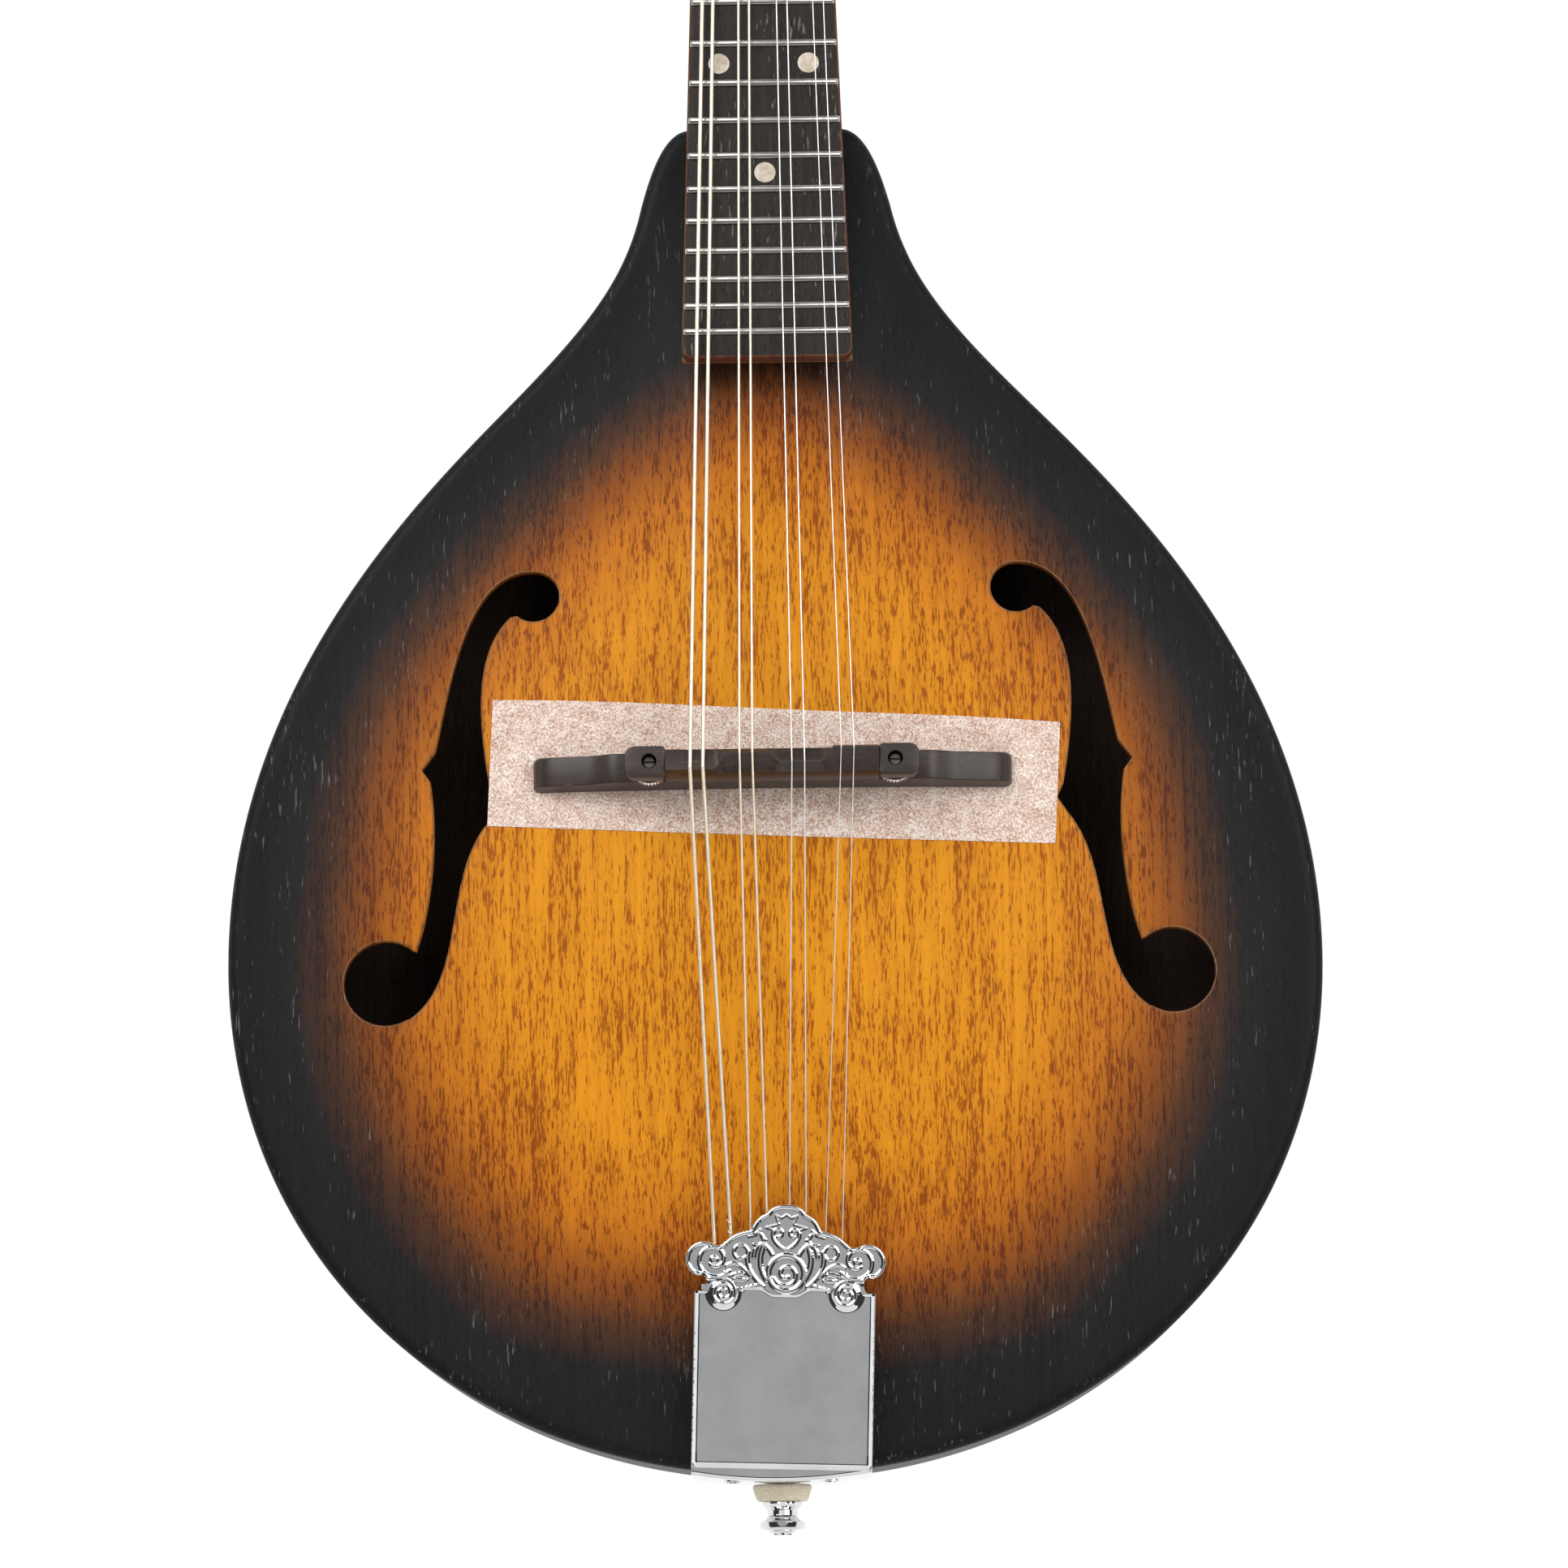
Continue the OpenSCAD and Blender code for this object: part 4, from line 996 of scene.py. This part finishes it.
def spiral(x, y, r0, r1, start, rounds, n=40):
    t = np.linspace(0, 1, n)
    return polar(r0 + (r1 - r0) * t, np.radians(start) + rounds * 2 * PI * t) + (x, y)


def mirrored(*strokes):
    return [(np.asarray(line, float) * (s, 1), w, h) for line, w, h in strokes for s in (1, -1)]


# Raised lines of the flourish: points from the shoulder line up, half width, height
flourish = [(spiral(0.2, 4.6, 4.3, 4.3, 0, 1), 0.75, 0.55),
            (spiral(0.2, 4.4, 3.1, 0.7, 200, 1.3), 0.55, 0.5)]
flourish += mirrored(
    (bezier([(0, 10.2), (3.4, 11.6), (4.4, 15.4), (1.6, 15.2)], 10, True), 0.5, 0.45),
    (bezier([(1.6, 15.2), (0.4, 14.8), (0.9, 13.2), (2.0, 13.4)], 6, True), 0.45, 0.45),
    ([(0, 18.8), (1.2, 17.9), (2.6, 18.6), (1.8, 16.4), (4.9, 15.6), (2.6, 14.9)], 0.3, 0.25),
    (arc(7.0, 12.8, 1.5, 60, 300, 10), 0.4, 0.4),
    ([(4.8, 12.6), (6.0, 13.4), (6.3, 15.2), (7.4, 13.7), (9.2, 13.3)], 0.3, 0.3),
    (bezier([(3.2, 9.0), (5.0, 12.6), (7.5, 12.0), (7.7, 8.6)], 12, True), 0.55, 0.5),
    (bezier([(4.6, 3.0), (6.4, 5.6), (6.6, 8.6), (5.2, 11.4)], 10, True), 0.7, 0.55),
    (bezier([(5.4, 1.4), (8.0, 3.6), (10.0, 6.6), (9.0, 9.8)], 10, True), 0.6, 0.5),
    (arc(10.9, 9.6, 1.7, -150, 170, 14), 0.42, 0.42),
    (bezier([(8.4, 3.8), (11, 7.0), (12.6, 7.4), (14.2, 6.2)], 10, True), 0.5, 0.5),
    (spiral(17.3, 7.7, 4.6, 1.4, 215, 1.25, 50), 0.5, 0.5),
    (arc(17.3, 7.6, 0.45, 0, 360, 8), 0.7, 0.7),
    (bezier([(10.2, 4.4), (13.0, 4.6), (16.0, 1.8), (21.4, 4.0)], 12, True), 0.6, 0.55),
    (bezier([(9.4, 3.0), (12.0, 2.4), (13.4, 3.4), (14.6, 4.6)], 10, True), 0.5, 0.45),
    (spiral(14.9, -0.2, 3.4, 0.7, 90, 2.1, 60), 0.45, 0.55),
    *[(arc(6.8 + 1.1 * k, 1.6 - 0.35 * k, 0.3, 0, 360, 6), 0.45, 0.5) for k in range(4)])
flourish = [(np.asarray(line, float) + (0, SHOULDER), w, h) for line, w, h in flourish]


STROKE_W, STROKE_H = 0.8, 0.55         # shares of the strokes' widths and heights
BEND, BEND_DROP = 1.3, 1.5             # the bends along the cover's sides
TOE = 1.4                              # length of the bend at the tail, short of the hooks


def stroke_distance(pts, line):
    best = np.full(len(pts), 99.0)
    for a, b in zip(line, line[1:]):
        d = b - a
        t = np.clip(((pts - a) @ d) / max(1e-9, d @ d), 0, 1)
        best = np.minimum(best, np.hypot(*(pts - a - t[:, None] * d).T))
    return best


def relief(pts, loop):
    """Height of the cover's face: raised crown, bead along its edge, flourish and roses."""
    x, y = pts[:, 0], pts[:, 1] - SHOULDER
    foot = -1.2 + 1.6 * step01((np.abs(x) - 2.5) / 4) - 1.1 * step01((np.abs(x) - 9.5) / 3)
    crown = step01((y - foot) / 0.7)
    z = 0.55 * crown
    rim = stroke_distance(pts, np.vstack([loop, loop[:1]]))
    on_crown = step01((y - 1.5) / 1.5)
    z += 0.3 * on_crown * np.sqrt(np.clip(1 - ((rim - 0.5) / 0.42) ** 2, 0, 1))
    raised = np.zeros(len(pts))
    for line, half, height in flourish:
        near = np.clip(1 - (stroke_distance(pts, line) / (STROKE_W * half)) ** 2, 0, 1)
        raised = np.maximum(raised, STROKE_H * height * np.sqrt(near))
    z += raised * np.maximum(crown, np.abs(x) > 10)
    for side in (-1, 1):
        boss = np.hypot(x - side * 14.9, y + 0.2)
        z = np.maximum(z, 0.75 * step01((4.6 - boss) / 1.7) + raised * (boss < 3.6))
    fold = np.clip(1 - (COVER_HALF - np.abs(x)) / BEND, 0, 1) * step01((0.4 - y) / 0.4)
    z -= BEND_DROP * (np.sqrt(fold ** 2 + 0.02) - 0.02 ** 0.5)
    toe = np.clip(1 - pts[:, 1] / TOE, 0, 1)
    return z - TOE * (np.sqrt(toe ** 2 + 0.01) - 0.1)


cover = Form()
loop = resample(cover_loop, 0.45)
sides = [lattice((s * 20.8 - 1.1, 3.9), (s * 20.8 + 1.1, 36), 0.3, 1.5) for s in (-1, 1)]
toe, field = lattice((-22, 0.3), (22, 3.6), 0.45), lattice((-19.4, 4.4), (19.4, 36), 2.4)
lattice_points = np.vstack([toe, field, *sides, lattice((-25, 36.5), (25, 65), 0.26)])
pts, faces, (ring,) = fill(loop, [], lattice_points, 0.16)
top = relief(pts, loop)
cover.add(np.c_[pts, COVER_T + top], faces)
bottom = np.minimum(0, top)
cover.add(np.c_[pts, bottom], faces)
bridge_loops(cover, ring, [], len(pts))
cover.points = [on_cover(p) for p in cover.points]
wall = np.array([(-168, 2.2), (-128.8, 5.8), (-128.8, 16.1), (-170.6, 10.4), (-170.6, 3.2)])
for side in (-1, 1):
    cover.loft(askew([across(side * (COVER_HALF - d), wall) for d in (0.0, 1.0)]))
lip = [(0.0, -1.6), (0.5, -1.6), (0.5, -0.3), (0.0, -0.3)]
cover.loft(on_cover([across(x, lip) for x in (-COVER_HALF + 0.3, COVER_HALF - 0.3)]))
cover.make("cover_engraved", "cover", [chrome], "chrome", ("tailpiece_cover",), sharp=50)

# ---- tailpiece base with its hooks ----
WALL_HALF, END_HALF_W, BASE_FRONT, BASE_END, BASE_T = 18.9, 22.0, -126.0, -169.5, 1.4
TAIL_FACE = -173.6


def tail_curve(x):
    """How far the end plate lies back from its middle."""
    return 1.9 * (x / END_HALF_W) ** 2


hanger = Form()
floor_line = ((BASE_FRONT, 4.4), (BASE_FRONT, 5.8), (BASE_END, 2.3), (BASE_END, 0.5))
wall_line = ((BASE_FRONT, 5), (-165, 2), (-165, 6), (BASE_FRONT, 9.5))
hanger.loft([across(x, floor_line) for x in (-WALL_HALF, WALL_HALF)])
for side in (-1, 1):
    hanger.loft([across(side * x, wall_line) for x in (WALL_HALF, WALL_HALF - 1)])
rings = []
for x in np.linspace(-END_HALF_W, END_HALF_W, 45):
    face = TAIL_FACE + tail_curve(x)
    rings.append(across(x, np.vstack([
        [(BASE_END, 0.6), (BASE_END, 2.3)], arc(face + 1.3, 0.75, 1.3, 90, 180, 7),
        [(face, -33.4), (face + 0.3, -34), (face + BASE_T, -34), (face + BASE_T, 0.0)]])))
hanger.loft(rings)
for i in range(8):
    hanger.lathe([(1.1, 2.8), (1.1, 8.6), (1.5, 9.6), (1.5, 10.0), (1.1, 10.2)],
                 spot(face_up, spread(i, *HOOK_SPREAD), HOOK_V), 20)
hanger.make("tailpiece_hanger", "body", [chrome], "chrome", ("tailpiece_base",), sharp=35)

# ---- strap button, felt and their screws ----
BUTTON_W = -20.0


def at_tail(x, w, out=0.0):
    """A map from (across, up, out of the tail's face) to (x, v, w)."""
    return moved(lambda a, b, z: (a + x, TAIL_FACE - out - z, b + w))


button = Form()
profile = [(2.2, 0), (4.9, 0.05), (4.95, 0.5)]
profile += [(3.7 + 1.2 * (1 - math.sin(a)), 0.7 + 1.35 * math.sin(a))
            for a in np.linspace(0.2, PI / 2, 6)]
profile += [(3.7, 3.0), (3.75, 3.6), (4.1, 4.2), (4.8, 4.6), (5.3, 4.85)]
profile += [(5.5, 4.95), (5.5, 6.15), (5.3, 6.5), (4.9, 6.75), (4.2, 6.9), (2.2, 6.9)]
flutes = 0.16 * (np.cos(turns(120) * 10) > 0.55)
button.lathe([(r - flutes * (4.98 < z < 6.12), z) for r, z in profile],
             at_tail(0, BUTTON_W, 4.3), 120)
button.make("strap_button_turned", "body", [chrome], "chrome", ("strap_button",), sharp=30)

washer = Form()
felt_line = [(2.2, 0.05), (6.9, 0.05), (7.25, 0.4), (7.3, 0.9), (7.0, 1.9), (6.7, 2.9), (6.4, 3.7),
             (5.9, 4.15), (2.2, 4.2)]
FELT_SIDES, FELT_BUMP = 72, 0.06
rng = random.Random(7)
bumps = np.array([rng.uniform(-1, 1) for _ in range(FELT_SIDES)])


def felt_bumps(k):
    """Unevenness round row k of the felt, with none on its first and last rows."""
    return FELT_BUMP * bumps[np.arange(FELT_SIDES) * (k + 3) % FELT_SIDES] * (0 < k < 8)


washer.lathe([(r + felt_bumps(k) - FELT_BUMP, z) for k, (r, z) in enumerate(felt_line)],
             at_tail(0, BUTTON_W), FELT_SIDES)
washer.make("felt_pad", "body", [felt], "felt", ("felt_washer",), sharp=50)


def cross_screw(form, at, r, h):
    """A raised round head with a cross slot drawn as a dark block of kind 1, painted shade for its
    hollow; its rim sits at z = 0.
    """
    form.lathe([(r, -0.2), (r, 0.1), (r * 0.85, h * 0.55), (r * 0.5, h * 0.9), (r * 0.12, h)], at, 28)
    for quarter in (0, PI / 2):
        c, s = math.cos(quarter), math.sin(quarter)
        bar = [(x * c - y * s, x * s + y * c, h + 0.01) for x, y in
               ((-r * 0.6, -r * 0.1), (r * 0.6, -r * 0.1), (r * 0.6, r * 0.1), (-r * 0.6, r * 0.1))]
        form.loft([at(np.array(bar) - (0, 0, h * 0.5)), at(np.array(bar))], 1)


screws = Form()
cross_screw(screws, at_tail(0, BUTTON_W, 11.2), 3.5, 1.1)
screws.lathe([(2.0, -28), (2.0, 11)], at_tail(0, BUTTON_W), 20)
for x, w in ((-12, -9), (12, -9), (0, -30)):
    cross_screw(screws, at_tail(x, w, 0.1 - tail_curve(x)), 2.4, 0.35)
    screws.lathe([(1.2, -13), (1.3, 0)], at_tail(x, w), 16)
screws.make("tail_screw_set", "body", [chrome, painted_slot_shade], "chrome", ("tail_screws",), sharp=40)

# ---- tuners ----
GEAR_R, WORM_R, SHAFT_R, STRIP_T = 6.2, 2.4, 1.75, 1.2
WORM_Z = HEAD_BACK - STRIP_T - 2.8
WORM_DY = GEAR_R + WORM_R + 0.3
TEETH = 15
WORM_CORE, WORM_PITCH = 1.65, 2 * PI * GEAR_R / TEETH
# A gear's rim: how far inside its tips, and height
GEAR_LINE = [(3.4, -1.4), (0.5, -1.4), (0.05, -1.0), (0.35, 0), (0.05, 1.0), (0.5, 1.4), (3.4, 1.4)]


def worm_at(k):
    """Maps (x, y, z) with z out along the worm's shaft."""
    side, y = side_of(k), post_y(k) + WORM_DY
    lie = moved(lambda a, b, out: (side * out, y + a, WORM_Z + side * b))
    return lambda p: on_head(lie(p))


def post_at(k):
    return spot(on_head, side_of(k) * POST_X, post_y(k))


for k in range(8):
    n = k + 1
    post = Form()
    post.lathe([(2.9, WORM_Z), (3.0, WORM_Z + 0.2), (3.0, 6.0), (2.75, 6.6), (2.75, 8.0), (3.0, 8.5),
                (3.0, 10.3), (2.6, 10.8), (1.6, 11.0)], post_at(k), 40)
    tooth = np.tile((0, 0.0, -0.45, -1.0, -1.0, -0.45), TEETH)
    post.lathe([(GEAR_R - inward + tooth * (inward < 1), WORM_Z + z) for inward, z in GEAR_LINE],
               post_at(k), len(tooth), 1)
    nub = [(2.2, 1.5), (2.2, 2.1), (1.8, 2.4), (0.5, 2.4)]
    post.lathe([(r, WORM_Z - z) for r, z in nub], post_at(k), 28)
    # The post's slot: a dark block, painted shade for its hollow
    bar = [(x, y, WORM_Z - 2.42) for x, y in ((-1.7, -0.25), (1.7, -0.25), (1.7, 0.25), (-1.7, 0.25))]
    post.loft([post_at(k)(np.array(bar) + (0, 0, 0.4)), post_at(k)(bar)], 2)
    post.make(f"post_{n}_geared", f"post_{n}", [chrome, brass, painted_slot_shade], "chrome",
              (f"tuner_post_{n}",), sharp=30)

    worm = Form()
    worm.lathe([(1.5, 11.4), (SHAFT_R, 11.7), (SHAFT_R, 14.6), (2.3, 14.7), (2.3, 15.0)], worm_at(k), 28)
    thread = []
    for z in np.linspace(15.0, 25.6, 86):
        wave = 0.5 + 0.5 * np.cos(2 * PI * z / WORM_PITCH - turns(32))
        r = WORM_CORE + (WORM_R - WORM_CORE) * np.clip(1.6 * wave - 0.3, 0, 1)
        thread.append((r, z))
    worm.lathe(thread, worm_at(k), 32)
    worm.lathe([(2.3, 25.6), (2.3, 26.0), (SHAFT_R, 26.1), (SHAFT_R, 33.8), (2.3, 34.1),
                (2.3, 34.6), (1.2, 34.6), (1.2, 42)], worm_at(k), 28)
    worm.make(f"worm_{n}_threaded", f"worm_{n}", [chrome], "chrome", (f"tuner_worm_{n}",), sharp=45)

    knob = Form()
    knob.lathe([(1.8, 34.6), (2.6, 34.65), (2.75, 35.6), (3.1, 37.0), (3.2, 37.9)], worm_at(k), 32)
    rings = []
    a = turns(48)
    for u in np.linspace(-PI / 2 + 0.05, PI / 2 - 0.05, 25):
        c = abs(math.cos(u)) ** 0.8
        wide = 7.8 * c * np.sign(np.cos(a)) * np.abs(np.cos(a)) ** 0.9
        thick = 3.2 * c * np.sign(np.sin(a)) * np.abs(np.sin(a)) ** 0.75
        rings.append(np.c_[wide, thick, np.full(48, 41.9 + 5.4 * math.sin(u))])
    knob.loft(worm_at(k)(np.array(rings)))
    knob.make(f"button_{n}_oval", f"worm_{n}", [button_finish], "button_plastic",
              (f"tuner_button_{n}",), sharp=50)

for name, side in (("bass", -1), ("treble", 1)):
    form = Form()
    x0, x1, y0, y1 = 11.5, 29.0, FIRST_POST - 13, FIRST_POST + 3 * POST_PITCH + 17
    corners = ((x1 - 3, y0 + 3, -90), (x1 - 3, y1 - 3, 0), (x0 + 3, y1 - 3, 90), (x0 + 3, y0 + 3, 180))
    loop = np.vstack([arc(cx, cy, 3, start, start + 90, 7) for cx, cy, start in corners])
    holes = [circle(POST_X, post_y(k), POST_R + 0.2, 28) for k in range(4)]
    if side < 0:
        loop = loop[::-1] * (-1, 1)
        holes = [h[::-1] * (-1, 1) for h in holes]
    form.slab(loop, HEAD_BACK - STRIP_T - 0.1, HEAD_BACK - 0.1, 0.35, on_head, holes)
    for k in range(4):
        y = post_y(k) + WORM_DY
        for lug in (11.8, 27.2):
            back = HEAD_BACK - STRIP_T - 0.2
            arch = [(y - 3, back), (y + 3, back)] + [
                (y + 3 * math.cos(a), WORM_Z - 3 * math.sin(a) * 0.99) for a in np.linspace(0, PI, 13)]
            form.loft(on_head([[(side * x, b, c) for b, c in arch] for x in (lug, lug + 1.2)]))
    form.make(f"tuner_strip_{name}", "body", [chrome], "chrome", (f"tuner_plate_{name}",), sharp=30)

small = Form()
for x, y in ((-6.4, 5.5), (6.4, 5.5), (0, 23.4)):
    cross_screw(small, spot(on_head, x, y, 1.8), 1.8, 0.7)
    small.lathe([(0.8, -7.5), (0.9, 1.9)], spot(on_head, x, y), 12)
for side in (-1, 1):
    for k in range(5):
        at = spot(on_head, side * (25.6 if k % 2 else 14.4), FIRST_POST - 8.5 + k * POST_PITCH,
                  HEAD_BACK - STRIP_T - 0.1, -1)
        cross_screw(small, at, 1.8, 0.8)
        small.lathe([(0.9, -8), (0.9, 0)], at, 12)
small.make("headstock_screw_set", "body", [chrome, painted_slot_shade], "chrome", ("headstock_screws",),
           sharp=40)

# ---- CAD nodes that stay, in their own finishes ----
for names, finish in (
        (("linings", "neck_block", "tail_block", "tone_bars"), bare_wood), (("nut",), bone),
        (("post_bushings",), chrome), (("truss_rod",), steel), (("truss_rod_nut",), brass)):
    for name in names:
        for material_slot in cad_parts[name].material_slots:
            material_slot.material = finish

# ---- light, world and floor ----
world = bpy.data.worlds.new("studio")
bpy.context.scene.world = world
world.use_nodes = True
sky = Wiring(world.node_tree)
_, Y, Z = sky.add("SeparateXYZ", {0: sky.add("TexCoord", output="Generated")}).node.outputs


def rise(value, low, high, start, end):
    return sky.step(value, low, high, start, end, interpolation_type="SMOOTHSTEP")


# In front: grey below the horizon and bright above it; a dark band round it; white behind
front = sky.math("MULTIPLY", rise(Y, -0.93, -0.84, 1, 0), rise(Z, -0.04, 0.07, 0.38, 0.85))
room = sky.math("ADD", rise(Y, -0.32, -0.12, 0.04, 1.0), front)
seen = sky.add("LightPath", output="Is Camera Ray")
sky.wire(sky.tree.nodes["Background"],
         {"Strength": sky.math("MAXIMUM", room, seen), "Color": (1, 1, 1, 1)})


def softbox(name, at, aim, size, power):
    light = bpy.data.lights.new(name, "AREA")
    light.shape, light.size, light.size_y, light.energy = "RECTANGLE", size[0], size[1], power
    obj = show(bpy.data.objects.new(name, light))
    obj.location = at
    obj.rotation_euler = (aim - at).to_track_quat("-Z", "Y").to_euler()
    obj.visible_camera = False
    return obj


centre = Vector(place([(0, 0, 0)])[0])
softbox("key_light", centre + Vector((-1.2, -1.9, 1.2)), centre, (1.6, 1.6), 38)
softbox("fill_light", centre + Vector((1.4, -1.9, 0.6)), centre, (1.6, 1.6), 28)
low = softbox("low_light", centre + Vector((0, -1.5, -1.3)), centre - Vector((0, 0, 0.1)),
              (1.2, 1.2), 10)
low.visible_glossy = False             # lifts the shade at the tail without a reflection

FLOOR_Z, FLOOR_R = -0.6, 0.6
floor_finish = Finish("floor_paper", Roughness=0.9)
shade = floor_finish.ramp(floor_finish.noise(3.0), *shades((0.3, 228, 227, 225), (0.7, 234, 233, 231)))
floor_finish.wire(floor_finish.shader, {"Base Color": shade})
data = bpy.data.meshes.new("floor")
data.from_pydata(level(circle(0, 0, FLOOR_R, 64), FLOOR_Z).tolist(), [], [list(range(64))])
data.materials.append(floor_finish.mat)
floor = show(bpy.data.objects.new("floor", data))
